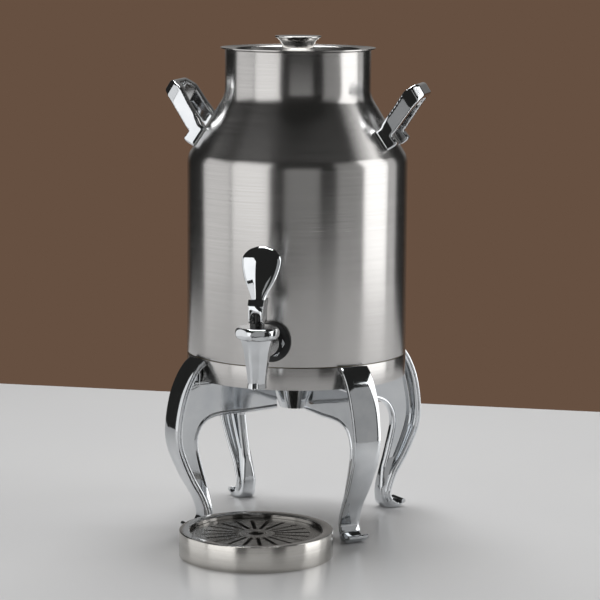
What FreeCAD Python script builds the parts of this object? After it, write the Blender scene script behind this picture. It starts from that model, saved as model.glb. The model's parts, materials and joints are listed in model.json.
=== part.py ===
import FreeCAD, Part
import math
import os
import Sketcher

# Hot water urn: an insulated drum with a necked top and a lift-out lid, on four
# cabriole legs, with two cast handles, a lever tap and a separate drip tray.
# Frame: origin on the drum's axis at counter level, +Z up, the tap on the -Y side.

doc = FreeCAD.newDocument("HotWaterUrn")
sheet = doc.addObject("Spreadsheet::Sheet", "Sizes")

# Driving dimensions, in millimetres and degrees
DRIVING = {
    # Drum
    "drum_radius": 127.0,
    "sheet_wall": 1.0,
    "drum_stand": 175.6,
    "ring_height": 25.7,
    "ring_wall": 1.2,
    "ring_lip": 6.0,
    "drum_wall_height": 225.8,
    "shoulder_slope": 31.66,
    "shoulder_round": 22.0,
    "throat_round": 25.0,
    "neck_radius": 84.0,
    "neck_height": 52.2,
    "base_plate_thick": 1.6,
    # Inner tank
    "tank_gap": 11.0,
    "tank_floor_lift": 30.8,
    "tank_neck_gap": 5.0,
    "tank_shoulder_drop": 6.0,
    "tank_floor_round": 8.0,
    "tank_floor_rim": 1.0,
    "mouth_ring_height": 9.0,
    "fit_gap": 0.3,
    "jacket_drop": 12.0,
    "base_pad_radius": 100.0,
    "base_pad_hole": 74.0,
    # Lid
    "lid_sheet": 1.2,
    "lid_recess": 9.0,
    "lid_overhang": 5.0,
    "lid_lift_gap": 0.2,
    "lid_pan_gap": 4.0,
    "lid_pan_slope": 5.0,
    "lid_lip_rise": 1.2,
    "lid_gasket_height": 7.0,
    "lid_gasket_thick": 2.4,
    # Knob
    "knob_top_radius": 26.5,
    "knob_waist_radius": 18.2,
    "knob_foot_radius": 19.4,
    "knob_height": 23.4,
    "knob_lip": 1.8,
    "knob_flare_round": 17.0,
    "knob_screw_radius": 3.0,
    "knob_screw_depth": 14.0,
    # Legs
    "leg_turn": -2.76,
    "leg_tongue_rise": 25.2,
    "leg_strap_depth": 8.0,
    "leg_strap_width": 35.0,
    "leg_foot_width": 24.5,
    "leg_web_width": 8.0,
    "leg_bead_width": 10.5,
    "leg_bead_depth": 5.0,
    "leg_pocket_depth": 2.2,
    "leg_bolt_radius": 2.5,
    "leg_bolt_outer": 106.0,
    "leg_bolt_inner": 62.0,
    "leg_bolt_depth": 16.0,
    "leg_swell": 36.3,
    # Hub under the drum
    "hub_low_radius": 19.0,
    "hub_high_radius": 34.0,
    "hub_depth": 41.1,
    "hub_bolt_radius": 4.0,
    "hub_counterbore": 8.5,
    "hub_recess": 10.0,
    # Handles
    "handle_half_width": 44.0,
    "handle_top_half_width": 24.0,
    "handle_post": 14.0,
    "handle_reach": 60.0,
    "handle_rise": 49.0,
    "handle_bar": 8.5,
    "handle_low": 17.5,
    "handle_sole": 25.5,
    "handle_round": 1.5,
    "handle_screw_spacing": 72.0,
    "handle_screw_radius": 2.5,
    "handle_screw_bite": 7.0,
    "handle_washer_radius": 8.0,
    "handle_washer_thick": 2.0,
    # Tap
    "tap_reach": 195.0,
    "tap_rise": 29.2,
    "shank_radius": 9.0,
    "shank_bore": 5.5,
    "tap_washer_radius": 22.3,
    "tap_washer_thick": 4.0,
    "skirt_radius": 15.5,
    "collar_half_flat": 15.0,
    "collar_thick": 5.0,
    "spout_drop": 40.5,
    "spout_waist_drop": 12.5,
    "spout_rise": 13.8,
    "spout_bottom_radius": 9.9,
    "spout_waist_radius": 12.4,
    "spout_top_radius": 17.8,
    "spout_bore": 6.5,
    "spout_flat_share": 1.045,
    "seat_drop": 15.5,
    "chamber_radius": 11.0,
    "tap_neck_radius": 14.0,
    "tap_neck_height": 5.0,
    "bonnet_radius": 24.3,
    "bonnet_facet": 22.2,
    "bonnet_facet_turn": 18.5,
    "bonnet_height": 14.7,
    "bonnet_cavity": 9.0,
    "bonnet_seal_thick": 1.0,
    "gland_seat": 6.0,
    "gland_radius": 6.0,
    "gland_flange": 8.0,
    "gland_flange_thick": 3.2,
    "stem_radius": 4.4,
    "stem_run_gap": 0.1,
    "stem_tip": 5.0,
    "cup_radius": 9.8,
    "cup_height": 14.5,
    "cup_wall": 2.2,
    "spring_wire": 0.7,
    "spring_radius": 6.2,
    "spring_turns": 5.0,
    # Lever
    "pin_rise": 8.5,
    "pin_radius": 1.6,
    "fork_wall": 2.1,
    "fork_slot_gap": 1.3,
    "fork_front": 9.0,
    "fork_back": 14.0,
    "fork_toe_round": 3.0,
    "fork_rest_gap": 0.2,
    "fork_cap": 9.0,
    "fork_arch_gap": 0.25,
    "lever_collar_rise": 6.5,
    "lever_collar_step": 1.0,
    "paddle_lean": 19.0,
    "paddle_length": 60.5,
    "paddle_half_width": 21.6,
    "paddle_half_thick": 6.5,
    "paddle_neck_half_width": 7.1,
    # Inner side of the tap
    "tap_nut_flat": 13.5,
    "tap_nut_thick": 7.0,
    "tap_seal_radius": 14.0,
    "tap_seal_thick": 3.0,
    "shank_end": 5.0,
    "spacer_wall": 3.5,
    # Drip tray
    "tray_shift": -4.8,
    "tray_reach": 176.9,
    "tray_radius": 85.1,
    "tray_height": 28.9,
    "tray_wall": 1.2,
    "tray_rim": 11.5,
    "tray_rim_dip": 0.8,
    "tray_well": 4.5,
    "tray_ledge": 4.0,
    "grid_thick": 1.5,
    "grid_hole": 8.5,
    "grid_slots": 20.0,
    "grid_slot_width": 4.4,
    "grid_slot_inner": 21.0,
    "grid_slot_outer": 59.0,
}


class Size:
    """A number that also carries the spreadsheet expression it comes from."""

    def __init__(self, value, text):
        self.value = float(value)
        self.text = text

    def __add__(self, other):
        other = as_size(other)
        return Size(self.value + other.value, f"({self.text} + {other.text})")

    def __radd__(self, other):
        return as_size(other) + self

    def __sub__(self, other):
        other = as_size(other)
        return Size(self.value - other.value, f"({self.text} - {other.text})")

    def __rsub__(self, other):
        return as_size(other) - self

    def __mul__(self, other):
        other = as_size(other)
        return Size(self.value * other.value, f"({self.text} * {other.text})")

    def __rmul__(self, other):
        return as_size(other) * self

    def __truediv__(self, other):
        other = as_size(other)
        return Size(self.value / other.value, f"({self.text} / {other.text})")

    def __neg__(self):
        return Size(-self.value, f"(-1 * {self.text})")


def as_size(number):
    if isinstance(number, Size):
        return number
    return Size(number, f"{number}")


def sine(angle):
    return Size(math.sin(math.radians(angle.value)), f"sin({angle.text})")


def cosine(angle):
    return Size(math.cos(math.radians(angle.value)), f"cos({angle.text})")


def tangent(angle):
    return Size(math.tan(math.radians(angle.value)), f"tan({angle.text})")


class Sizes:
    """Every cell of the sheet as an attribute with the cell's alias."""

    def __init__(self, table):
        for row, (alias, value) in enumerate(table.items(), start=1):
            sheet.set(f"A{row}", alias)
            sheet.set(f"B{row}", str(value))
            sheet.setAlias(f"B{row}", alias)
            setattr(self, alias, Size(value, f"Sizes.{alias}"))


s = Sizes(DRIVING)
doc.recompute()

# Heights and radii that several pieces share
ring_top = s.drum_stand + s.ring_height
shoulder_low = ring_top + s.drum_wall_height
shoulder_rise = (s.drum_radius - s.neck_radius) / tangent(s.shoulder_slope)
shoulder_high = shoulder_low + shoulder_rise
neck_top = shoulder_high + s.neck_height
plate_top = s.drum_stand + s.base_plate_thick
tank_radius = s.drum_radius - s.sheet_wall - s.tank_gap
tank_neck_radius = s.neck_radius - s.sheet_wall - s.tank_neck_gap
tank_floor = plate_top + s.tank_floor_lift
tank_shoulder_low = shoulder_low - s.tank_shoulder_drop
tank_shoulder_high = tank_shoulder_low + (tank_radius - tank_neck_radius) / tangent(s.shoulder_slope)
tap_height = ring_top + s.tap_rise
spout_bottom = tap_height - s.spout_drop
spout_waist = tap_height - s.spout_waist_drop
spout_top = tap_height + s.spout_rise
seat_height = tap_height - s.seat_drop
bonnet_top = spout_top + s.bonnet_height
pin_height = bonnet_top + s.pin_rise
stem_top = pin_height + s.stem_tip
fork_top = stem_top + s.fork_cap
slot_half = s.stem_radius + s.fork_slot_gap
fork_half = slot_half + s.fork_wall
origin = FreeCAD.Vector(0, 0, 0)
up = FreeCAD.Vector(0, 0, 1)

# How far a cutter runs on past what it cuts
over = 1.0

nodes = []


def keep(item, label):
    item.Label = label
    nodes.append(item)
    return item


def new_body(name):
    return doc.addObject("PartDesign::Body", name)


def origin_item(body, role):
    return next(item for item in body.Origin.OriginFeatures if item.Role == role)


def sketch_on(body, name, role, lift=0):
    sketch = body.newObject("Sketcher::SketchObject", name)
    sketch.AttachmentSupport = [(origin_item(body, role), "")]
    sketch.MapMode = "FlatFace"
    lift = as_size(lift)
    sketch.AttachmentOffset = FreeCAD.Placement(FreeCAD.Vector(0, 0, lift.value), FreeCAD.Rotation())
    sketch.setExpression("AttachmentOffset.Base.z", lift.text)
    return sketch


def pin_point(sketch, edge, end, x, y):
    """Tie one end of an edge to its expressions in both directions."""
    for kind, size in (("DistanceX", x), ("DistanceY", y)):
        index = sketch.addConstraint(Sketcher.Constraint(kind, -1, 1, edge, end, size.value))
        sketch.setExpression(f"Constraints[{index}]", size.text)


def arc_between(start, end, radius, side):
    """The short arc from start to end; side 1 bulges to the left of the chord."""
    chord = end - start
    half = chord.Length / 2
    middle = (start + end) / 2
    left = FreeCAD.Vector(-chord.y, chord.x, 0).normalize()
    sag = radius - math.sqrt(radius * radius - half * half)
    return Part.Arc(start, middle + left * (side * sag), end)


def outline(sketch, points):
    """A closed outline; a point (x, y, radius, side) is reached by an arc."""
    corners = [tuple(as_size(number) for number in point) for point in points]
    count = len(corners)
    for index in range(count):
        here = FreeCAD.Vector(corners[index][0].value, corners[index][1].value, 0)
        after = corners[(index + 1) % count]
        there = FreeCAD.Vector(after[0].value, after[1].value, 0)
        if len(after) > 2:
            arc = arc_between(here, there, after[2].value, after[3].value)
            sketch.addGeometry(arc)
        else:
            sketch.addGeometry(Part.LineSegment(here, there))
    first_end = [edge_start(sketch, index, corners[index]) for index in range(count)]
    for index in range(count):
        other = (index + 1) % count
        last_end = 2 if first_end[index] == 1 else 1
        sketch.addConstraint(Sketcher.Constraint("Coincident", index, last_end, other, first_end[other]))
    for index in range(count):
        pin_point(sketch, index, first_end[index], corners[index][0], corners[index][1])
        after = corners[(index + 1) % count]
        if len(after) > 2:
            bend = sketch.addConstraint(Sketcher.Constraint("Radius", index, after[2].value))
            sketch.setExpression(f"Constraints[{bend}]", after[2].text)


def edge_start(sketch, index, corner):
    """Which end of a sketch edge lies on the corner (arcs may run backwards)."""
    place = FreeCAD.Vector(corner[0].value, corner[1].value, 0)
    if sketch.getPoint(index, 1).distanceToPoint(place) < 1e-6:
        return 1
    return 2


def revolve(body, points):
    """Turn an outline of (radius, height) points round the body's own Z axis."""
    sketch = sketch_on(body, body.Name + "_Outline", "XZ_Plane")
    outline(sketch, points)
    turn = body.newObject("PartDesign::Revolution", body.Name + "_Turn")
    turn.Profile = sketch
    turn.ReferenceAxis = (sketch, ["V_Axis"])
    turn.Angle = 360
    doc.recompute()
    return turn


def turned(name, points):
    body = new_body(name)
    revolve(body, points)
    return keep(body, name)


def pad(body, name, role, points, length, lift=0, middle=True):
    sketch = sketch_on(body, name + "_Sketch", role, lift)
    outline(sketch, points)
    feature = body.newObject("PartDesign::Pad", name)
    feature.Profile = sketch
    feature.setExpression("Length", as_size(length).text)
    feature.Length = as_size(length).value
    feature.SideType = "Symmetric" if middle else "One side"
    doc.recompute()
    return feature


def pocket(body, name, role, points, lift=0):
    """Cut an outline right through the body, both ways from its plane."""
    before = body.Shape.Volume
    sketch = sketch_on(body, name + "_Sketch", role, lift)
    outline(sketch, points)
    feature = body.newObject("PartDesign::Pocket", name)
    feature.Profile = sketch
    feature.Type = "ThroughAll"
    feature.SideType = "Symmetric"
    doc.recompute()
    if body.Shape.Volume > before - 1:
        raise RuntimeError(f"{name} cut nothing")
    return feature


def rings_at(shape, spots):
    """Names of the round edges about Z that pass through (radius, height) spots."""
    found = []
    for radius, height in spots:
        for number, edge in enumerate(shape.Edges, start=1):
            middle = edge.valueAt((edge.FirstParameter + edge.LastParameter) / 2)
            level = abs(middle.z - as_size(height).value) < 1e-4
            flat = edge.BoundBox.ZLength < 1e-4
            if level and flat and abs(math.hypot(middle.x, middle.y) - as_size(radius).value) < 1e-4:
                found.append(f"Edge{number}")
    return found


def round_off(body, name, base, edges, radius):
    feature = body.newObject("PartDesign::Fillet", name)
    feature.Base = (base, edges)
    feature.setExpression("Radius", as_size(radius).text)
    feature.Radius = as_size(radius).value
    doc.recompute()
    return feature


def place_at(item, x=0, y=0, z=0):
    """Set an object's place from expressions."""
    spot = [as_size(number) for number in (x, y, z)]
    item.Placement.Base = FreeCAD.Vector(*(number.value for number in spot))
    for axis, number in zip("xyz", spot):
        item.setExpression(f"Placement.Base.{axis}", number.text)


def cut_round(body, name, radius, length, spot, axis, turn):
    """Cut a round hole whose axis starts at spot and runs along local Z turned about axis."""
    before = body.Shape.Volume
    hole = body.newObject("PartDesign::SubtractiveCylinder", name)
    hole.Placement = FreeCAD.Placement(FreeCAD.Vector(), FreeCAD.Rotation(axis, as_size(turn).value))
    place_at(hole, *spot)
    hole.setExpression("Radius", as_size(radius).text)
    hole.setExpression("Height", as_size(length).text)
    doc.recompute()
    if body.Shape.Volume > before - 0.1:
        raise RuntimeError(f"{name} cut nothing")
    return hole


def group(label, shapes):
    """Identical loose pieces of one kind in one node."""
    feature = doc.addObject("Part::Feature", label)
    feature.Shape = Part.makeCompound(shapes)
    return keep(feature, label)


def single(label, shape, placement=None):
    feature = doc.addObject("Part::Feature", label)
    feature.Shape = shape
    if placement is not None:
        feature.Placement = placement
    return keep(feature, label)


def spin(angle):
    return FreeCAD.Placement(FreeCAD.Vector(), FreeCAD.Rotation(up, angle))


def hex_prism(half_flat, height, base):
    """A hexagon standing on base, half_flat from its axis to each flat."""
    corner = half_flat / math.cos(math.radians(30))
    points = [
        FreeCAD.Vector(
            corner * math.cos(math.radians(60 * k)) + base.x,
            corner * math.sin(math.radians(60 * k)) + base.y,
            base.z,
        )
        for k in range(7)
    ]
    return Part.Face(Part.makePolygon(points)).extrude(up * height)


def hex_bolt(shank, length, head_half_flat, head_height):
    """A bolt with its head's underside at the origin and its shank pointing down."""
    head = hex_prism(head_half_flat, head_height, origin)
    rod = Part.makeCylinder(shank, length, origin, -up)
    return head.fuse(rod).removeSplitter()


# Outer drum: base ring, wall, spun shoulder with the neck, and mouth ring
def make_drum():
    inner = s.drum_radius - s.ring_wall
    flange = s.drum_radius - s.ring_lip
    turned(
        "base_ring",
        [
            (s.drum_radius, s.drum_stand),
            (s.drum_radius, ring_top),
            (flange, ring_top),
            (flange, ring_top - s.ring_wall),
            (inner, ring_top - s.ring_wall),
            (inner, plate_top + s.ring_wall),
            (flange, plate_top + s.ring_wall),
            (flange, plate_top),
            (inner, plate_top),
            (inner, s.drum_stand),
        ],
    )

    plate = new_body("base_plate")
    revolve(
        plate,
        [
            (s.hub_bolt_radius + s.fit_gap, s.drum_stand),
            (inner, s.drum_stand),
            (inner, plate_top),
            (s.hub_bolt_radius + s.fit_gap, plate_top),
        ],
    )
    for name, reach in (("outer", s.leg_bolt_outer), ("inner", s.leg_bolt_inner)):
        for number, angle in enumerate(leg_angles()):
            heading = 90 - angle
            cut_round(
                plate,
                f"bolt_hole_{name}_{number + 1}",
                s.leg_bolt_radius + s.fit_gap,
                s.base_plate_thick * 3,
                (reach * cosine(heading), -reach * sine(heading), s.drum_stand - s.base_plate_thick),
                up,
                0,
            )
    keep(plate, "base_plate")

    wall = s.sheet_wall
    wall_top = shoulder_low - s.shoulder_round / 2
    side = new_body("drum_wall")
    revolve(
        side,
        [
            (s.drum_radius - wall, ring_top),
            (s.drum_radius, ring_top),
            (s.drum_radius, wall_top),
            (s.drum_radius - wall, wall_top),
        ],
    )
    cut_round(
        side,
        "tap_hole",
        s.shank_radius + s.fit_gap,
        s.drum_radius,
        (0, 0, tap_height),
        FreeCAD.Vector(1, 0, 0),
        90,
    )
    keep(side, "drum_wall")

    shell = new_body("drum_shoulder")
    skew = wall * tangent(s.shoulder_slope / 2)
    turn = revolve(
        shell,
        [
            (s.drum_radius, wall_top),
            (s.drum_radius, shoulder_low),
            (s.neck_radius, shoulder_high),
            (s.neck_radius, neck_top),
            (s.neck_radius - wall, neck_top),
            (s.neck_radius - wall, shoulder_high - skew),
            (s.drum_radius - wall, shoulder_low - skew),
            (s.drum_radius - wall, wall_top),
        ],
    )
    outer_bend = rings_at(turn.Shape, [(s.drum_radius, shoulder_low)])
    turn = round_off(shell, "shoulder_bend", turn, outer_bend, s.shoulder_round)
    inner_bend = rings_at(turn.Shape, [(s.drum_radius - wall, shoulder_low - skew)])
    turn = round_off(shell, "shoulder_bend_inside", turn, inner_bend, s.shoulder_round - wall)
    throat = rings_at(turn.Shape, [(s.neck_radius, shoulder_high)])
    turn = round_off(shell, "throat_bend", turn, throat, s.throat_round - wall)
    throat_inside = rings_at(turn.Shape, [(s.neck_radius - wall, shoulder_high - skew)])
    round_off(shell, "throat_bend_inside", turn, throat_inside, s.throat_round)
    for number, (hand, offset) in enumerate(handle_spots()):
        drill_handle_hole(shell, number, hand, offset)
    keep(shell, "drum_shoulder")

    turned(
        "mouth_ring",
        [
            (tank_neck_radius, neck_top - s.mouth_ring_height),
            (s.neck_radius - wall, neck_top - s.mouth_ring_height),
            (s.neck_radius - wall, neck_top),
            (tank_neck_radius, neck_top),
        ],
    )


# Inner tank and its insulation
def make_tank():
    wall = s.sheet_wall
    skew = wall * tangent(s.shoulder_slope / 2)
    floor_seam = tank_floor + s.tank_floor_round + s.tank_floor_rim
    tank_seam = tank_shoulder_low - s.tank_shoulder_drop
    neck_seam = tank_shoulder_high + s.tank_shoulder_drop
    pan = new_body("tank_floor_pan")
    turn = revolve(
        pan,
        [
            (0, tank_floor),
            (tank_radius, tank_floor),
            (tank_radius, floor_seam),
            (tank_radius - wall, floor_seam),
            (tank_radius - wall, tank_floor + wall),
            (0, tank_floor + wall),
        ],
    )
    floor_bend = rings_at(turn.Shape, [(tank_radius, tank_floor)])
    turn = round_off(pan, "floor_bend", turn, floor_bend, s.tank_floor_round)
    floor_inside = rings_at(turn.Shape, [(tank_radius - wall, tank_floor + wall)])
    round_off(pan, "floor_bend_inside", turn, floor_inside, s.tank_floor_round - wall)
    keep(pan, "tank_floor_pan")

    tank = new_body("inner_tank")
    revolve(
        tank,
        [
            (tank_radius - wall, floor_seam),
            (tank_radius, floor_seam),
            (tank_radius, tank_seam),
            (tank_radius - wall, tank_seam),
        ],
    )
    cut_round(
        tank,
        "tank_tap_hole",
        s.shank_radius + s.fit_gap,
        s.drum_radius,
        (0, 0, tap_height),
        FreeCAD.Vector(1, 0, 0),
        90,
    )
    keep(tank, "inner_tank")

    turned(
        "tank_shoulder",
        [
            (tank_radius, tank_seam),
            (tank_radius, tank_shoulder_low),
            (tank_neck_radius, tank_shoulder_high),
            (tank_neck_radius, neck_seam),
            (tank_neck_radius - wall, neck_seam),
            (tank_neck_radius - wall, tank_shoulder_high - skew),
            (tank_radius - wall, tank_shoulder_low - skew),
            (tank_radius - wall, tank_seam),
        ],
    )
    turned(
        "tank_neck_wall",
        [
            (tank_neck_radius, neck_seam),
            (tank_neck_radius, neck_top),
            (tank_neck_radius - wall, neck_top),
            (tank_neck_radius - wall, neck_seam),
        ],
    )

    jacket = new_body("side_insulation")
    jacket_top = tank_shoulder_low - s.jacket_drop
    revolve(
        jacket,
        [
            (tank_radius + s.fit_gap, ring_top),
            (s.drum_radius - wall - s.fit_gap, ring_top),
            (s.drum_radius - wall - s.fit_gap, jacket_top),
            (tank_radius + s.fit_gap, jacket_top),
        ],
    )
    cut_round(
        jacket,
        "spacer_hole",
        s.shank_radius + s.spacer_wall + s.fit_gap * 2,
        s.drum_radius,
        (0, 0, tap_height),
        FreeCAD.Vector(1, 0, 0),
        90,
    )
    keep(jacket, "side_insulation")

    turned(
        "base_insulation",
        [
            (s.base_pad_hole, plate_top),
            (s.base_pad_radius, plate_top),
            (s.base_pad_radius, tank_floor),
            (s.base_pad_hole, tank_floor),
        ],
    )


# Lid: dished pan with a rolled edge, seal and knob
def make_lid():
    flange_low = neck_top + s.lid_lift_gap
    flange_high = flange_low + s.lid_sheet
    rim = s.neck_radius + s.lid_overhang
    pan_low = flange_high - s.lid_recess - s.lid_sheet
    wall = s.lid_sheet
    pan_radius = tank_neck_radius - s.lid_pan_gap
    floor_radius = pan_radius - s.lid_pan_slope
    turned(
        "lid_pan",
        [
            (s.knob_screw_radius + s.fit_gap, pan_low),
            (floor_radius, pan_low),
            (pan_radius, flange_low),
            (s.neck_radius, flange_low),
            (rim, flange_low + s.lid_lip_rise),
            (rim, flange_high + s.lid_lip_rise),
            (s.neck_radius, flange_high),
            (pan_radius - wall, flange_high),
            (floor_radius - wall, pan_low + wall),
            (s.knob_screw_radius + s.fit_gap, pan_low + wall),
        ],
    )
    slope = s.lid_pan_slope / (flange_low - pan_low)
    gasket_inner_low = pan_radius - slope * s.lid_gasket_height
    turned(
        "lid_gasket",
        [
            (pan_radius, flange_low),
            (gasket_inner_low, flange_low - s.lid_gasket_height),
            (pan_radius + s.lid_gasket_thick, flange_low - s.lid_gasket_height),
            (pan_radius + s.lid_gasket_thick, flange_low),
        ],
    )
    knob_low = pan_low + wall
    knob_top = knob_low + s.knob_height
    turned(
        "lid_knob",
        [
            (0, knob_low + s.knob_screw_depth),
            (s.knob_screw_radius, knob_low + s.knob_screw_depth),
            (s.knob_screw_radius, knob_low),
            (s.knob_foot_radius, knob_low),
            (s.knob_waist_radius, knob_low + s.knob_height / 3),
            (s.knob_top_radius, knob_top - s.knob_lip, s.knob_flare_round, 1),
            (s.knob_top_radius, knob_top),
            (0, knob_top),
        ],
    )
    washer_low = pan_low - wall
    turned(
        "knob_washer",
        [
            (s.knob_screw_radius + s.fit_gap, washer_low),
            (s.knob_foot_radius / 2, washer_low),
            (s.knob_foot_radius / 2, pan_low),
            (s.knob_screw_radius + s.fit_gap, pan_low),
        ],
    )
    radius = s.knob_screw_radius.value
    length = washer_low.value - (knob_low + s.knob_screw_depth).value
    screw = hex_bolt(radius, -length, radius * 1.7, radius * 1.3)
    screw.rotate(origin, FreeCAD.Vector(1, 0, 0), 180)
    screw.translate(up * washer_low.value)
    single("knob_screw", screw)


# Legs and the hub that gathers their webs
def leg_angles():
    """Headings of the four legs, in degrees from the tap side towards +X."""
    return [Size(turn, f"{turn}") + s.leg_turn for turn in (45, 135, 225, 315)]


def smooth(points):
    curve = Part.BSplineCurve()
    curve.interpolate([FreeCAD.Vector(x, 0, z) for x, z in points])
    return curve


def beside(curve, depth, samples=28):
    """A copy of a curve in the XZ plane, moved sideways by depth."""
    first = curve.FirstParameter
    span = curve.LastParameter - first
    moved = []
    for step in range(samples + 1):
        at = first + span * step / samples
        direction = curve.tangent(at)[0]
        side = FreeCAD.Vector(-direction.z, 0, direction.x)
        moved.append(curve.value(at) + side * depth)
    copy = Part.BSplineCurve()
    copy.interpolate(moved)
    return copy


def side_face(curves):
    """The face inside curves that follow each other, joined by straight lines."""
    edges = []
    for curve, after in zip(curves, curves[1:] + curves[:1]):
        edges.append(curve.toShape())
        if curve.EndPoint.distanceToPoint(after.StartPoint) > 1e-6:
            edges.append(Part.LineSegment(curve.EndPoint, after.StartPoint).toShape())
    return Part.Face(Part.Wire(edges))


def strip(curve, depth):
    """The face between a curve in the XZ plane and its copy moved sideways by depth."""
    copy = beside(curve, depth)
    copy.reverse()
    return side_face([curve, copy])


def across(face, width):
    """Extrude a side face to both sides of the leg's middle plane."""
    solid = face.extrude(FreeCAD.Vector(0, width, 0))
    solid.translate(FreeCAD.Vector(0, -width / 2, 0))
    return solid


def leg_shape():
    drum = s.drum_radius.value
    stand = s.drum_stand.value
    tongue_top = stand + s.leg_tongue_rise.value
    hub_end = s.hub_high_radius.value

    swell = s.leg_swell.value

    # Points are (share of the swell beyond the drum's wall, share of the height under the drum)
    front = [(0.096, tongue_top / stand), (0.317, 1.105), (0.565, 1.03), (0.785, 0.925), (0.931, 0.80),
             (1.0, 0.675), (0.953, 0.575), (0.785, 0.475), (0.482, 0.345), (0.165, 0.235), (0.006, 0.155),
             (-0.05, 0.10)]
    toe = [(-0.05, 0.10), (0.022, 0.065), (0.127, 0.042), (0.248, 0.031), (0.375, 0.034), (0.485, 0.049)]
    sole = [(0.485, 0.049), (0.397, 0.020), (0.259, 0.001), (0.083, -0.004), (-0.11, 0.002), (-0.289, 0.018),
            (-0.441, 0.048)]
    back = [(-0.441, 0.048), (-0.457, 0.13), (-0.364, 0.25), (-0.207, 0.345), (-0.017, 0.475), (0.094, 0.575),
            (0.044, 0.655), (-0.152, 0.717), (-0.468, 0.748), (-0.937, 0.758), (-1.653, 0.757)]

    def real(points):
        return [(drum + swell * reach, stand * share) for reach, share in points]

    front_curve = smooth(real(front))
    toe_curve = smooth(real(toe))
    sole_curve = smooth(real(sole))
    back_curve = smooth(real(back) + [(hub_end * 0.82, stand * 0.766)])

    # The web reaches halfway into the strap and the bead that border it
    strap_depth = s.leg_strap_depth.value
    bead_depth = s.leg_bead_depth.value
    hub_foot = back_curve.EndPoint
    web_front = beside(front_curve, -strap_depth / 2)
    web_back = beside(back_curve, -bead_depth / 2)
    sill_middle = stand - bead_depth / 2
    hub_line = Part.LineSegment(
        FreeCAD.Vector(hub_foot.x, 0, sill_middle),
        FreeCAD.Vector(drum - strap_depth, 0, sill_middle),
    )
    tongue_line = Part.LineSegment(
        FreeCAD.Vector(drum - strap_depth, 0, sill_middle + strap_depth),
        FreeCAD.Vector(drum - strap_depth, 0, tongue_top - strap_depth),
    )
    web = across(side_face([web_front, web_back, hub_line, tongue_line]), s.leg_web_width.value)

    # The strap along the front narrows from tongue to foot
    strap = across(strip(front_curve, -strap_depth), s.leg_strap_width.value)
    half_top = s.leg_strap_width.value / 2
    half_foot = s.leg_foot_width.value / 2
    taper = [(-half_top, tongue_top), (-half_top, stand * 0.9), (-half_foot * 1.26, stand * 0.5),
             (-half_foot, stand * 0.25), (-half_foot, 0)]
    front_view = taper + [(-across_half, height) for across_half, height in reversed(taper)]
    corners = [FreeCAD.Vector(0, y, z) for y, z in front_view + front_view[:1]]
    mask = Part.Face(Part.makePolygon(corners)).extrude(FreeCAD.Vector(drum * 2, 0, 0))
    strap = strap.common(mask)

    # The foot is full width, and a bead borders the web's inner edge and its top
    heel_reach, heel_share = back[1]
    ankle_line = Part.LineSegment(
        FreeCAD.Vector(drum + swell * heel_reach * 0.976, 0, stand * heel_share),
        FreeCAD.Vector(toe_curve.StartPoint.x - strap_depth / 2, 0, stand * heel_share),
    )
    foot = across(side_face([toe_curve, sole_curve, ankle_line]), s.leg_foot_width.value)
    bead = across(strip(back_curve, -bead_depth), s.leg_bead_width.value)
    sill = Part.makeBox(
        drum - hub_foot.x,
        s.leg_bead_width.value,
        bead_depth,
        FreeCAD.Vector(hub_foot.x, -s.leg_bead_width.value / 2, stand - bead_depth),
    )
    leg = web.fuse([strap, foot, bead, sill])

    # The web ends at the hub, the tongue at the drum
    hub_form = Part.makeCone(
        (s.hub_low_radius + s.fit_gap).value,
        (s.hub_high_radius + s.fit_gap).value,
        s.hub_depth.value,
        FreeCAD.Vector(0, 0, stand - s.hub_depth.value),
    )
    drum_form = Part.makeCylinder(drum, s.ring_height.value + stand, FreeCAD.Vector(0, 0, stand))
    counter = Part.makeBox(drum * 2, drum, s.leg_strap_depth.value,
                           FreeCAD.Vector(0, -drum / 2, -s.leg_strap_depth.value))
    leg = leg.cut([hub_form, drum_form, counter])
    for reach in (s.leg_bolt_outer.value, s.leg_bolt_inner.value):
        hole = Part.makeCylinder(
            s.leg_bolt_radius.value,
            s.leg_bolt_depth.value,
            FreeCAD.Vector(reach, 0, stand - s.leg_bolt_depth.value),
        )
        leg = leg.cut(hole)

    # A shallow three-sided pocket on both sides behind the tongue
    pocket_points = [(0.138, 0.935), (0.138, 1.045), (0.237, 1.062), (0.314, 1.04), (0.551, 0.945)]
    corners = [FreeCAD.Vector(x, 0, z) for x, z in real(pocket_points + pocket_points[:1])]
    pocket_face = Part.Face(Part.makePolygon(corners))
    for sign in (-1, 1):
        depth = s.leg_pocket_depth.value
        recess = pocket_face.extrude(FreeCAD.Vector(0, sign * half_top, 0))
        recess.translate(FreeCAD.Vector(0, sign * (s.leg_web_width.value / 2 - depth), 0))
        leg = leg.cut(recess)
    return leg


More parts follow.
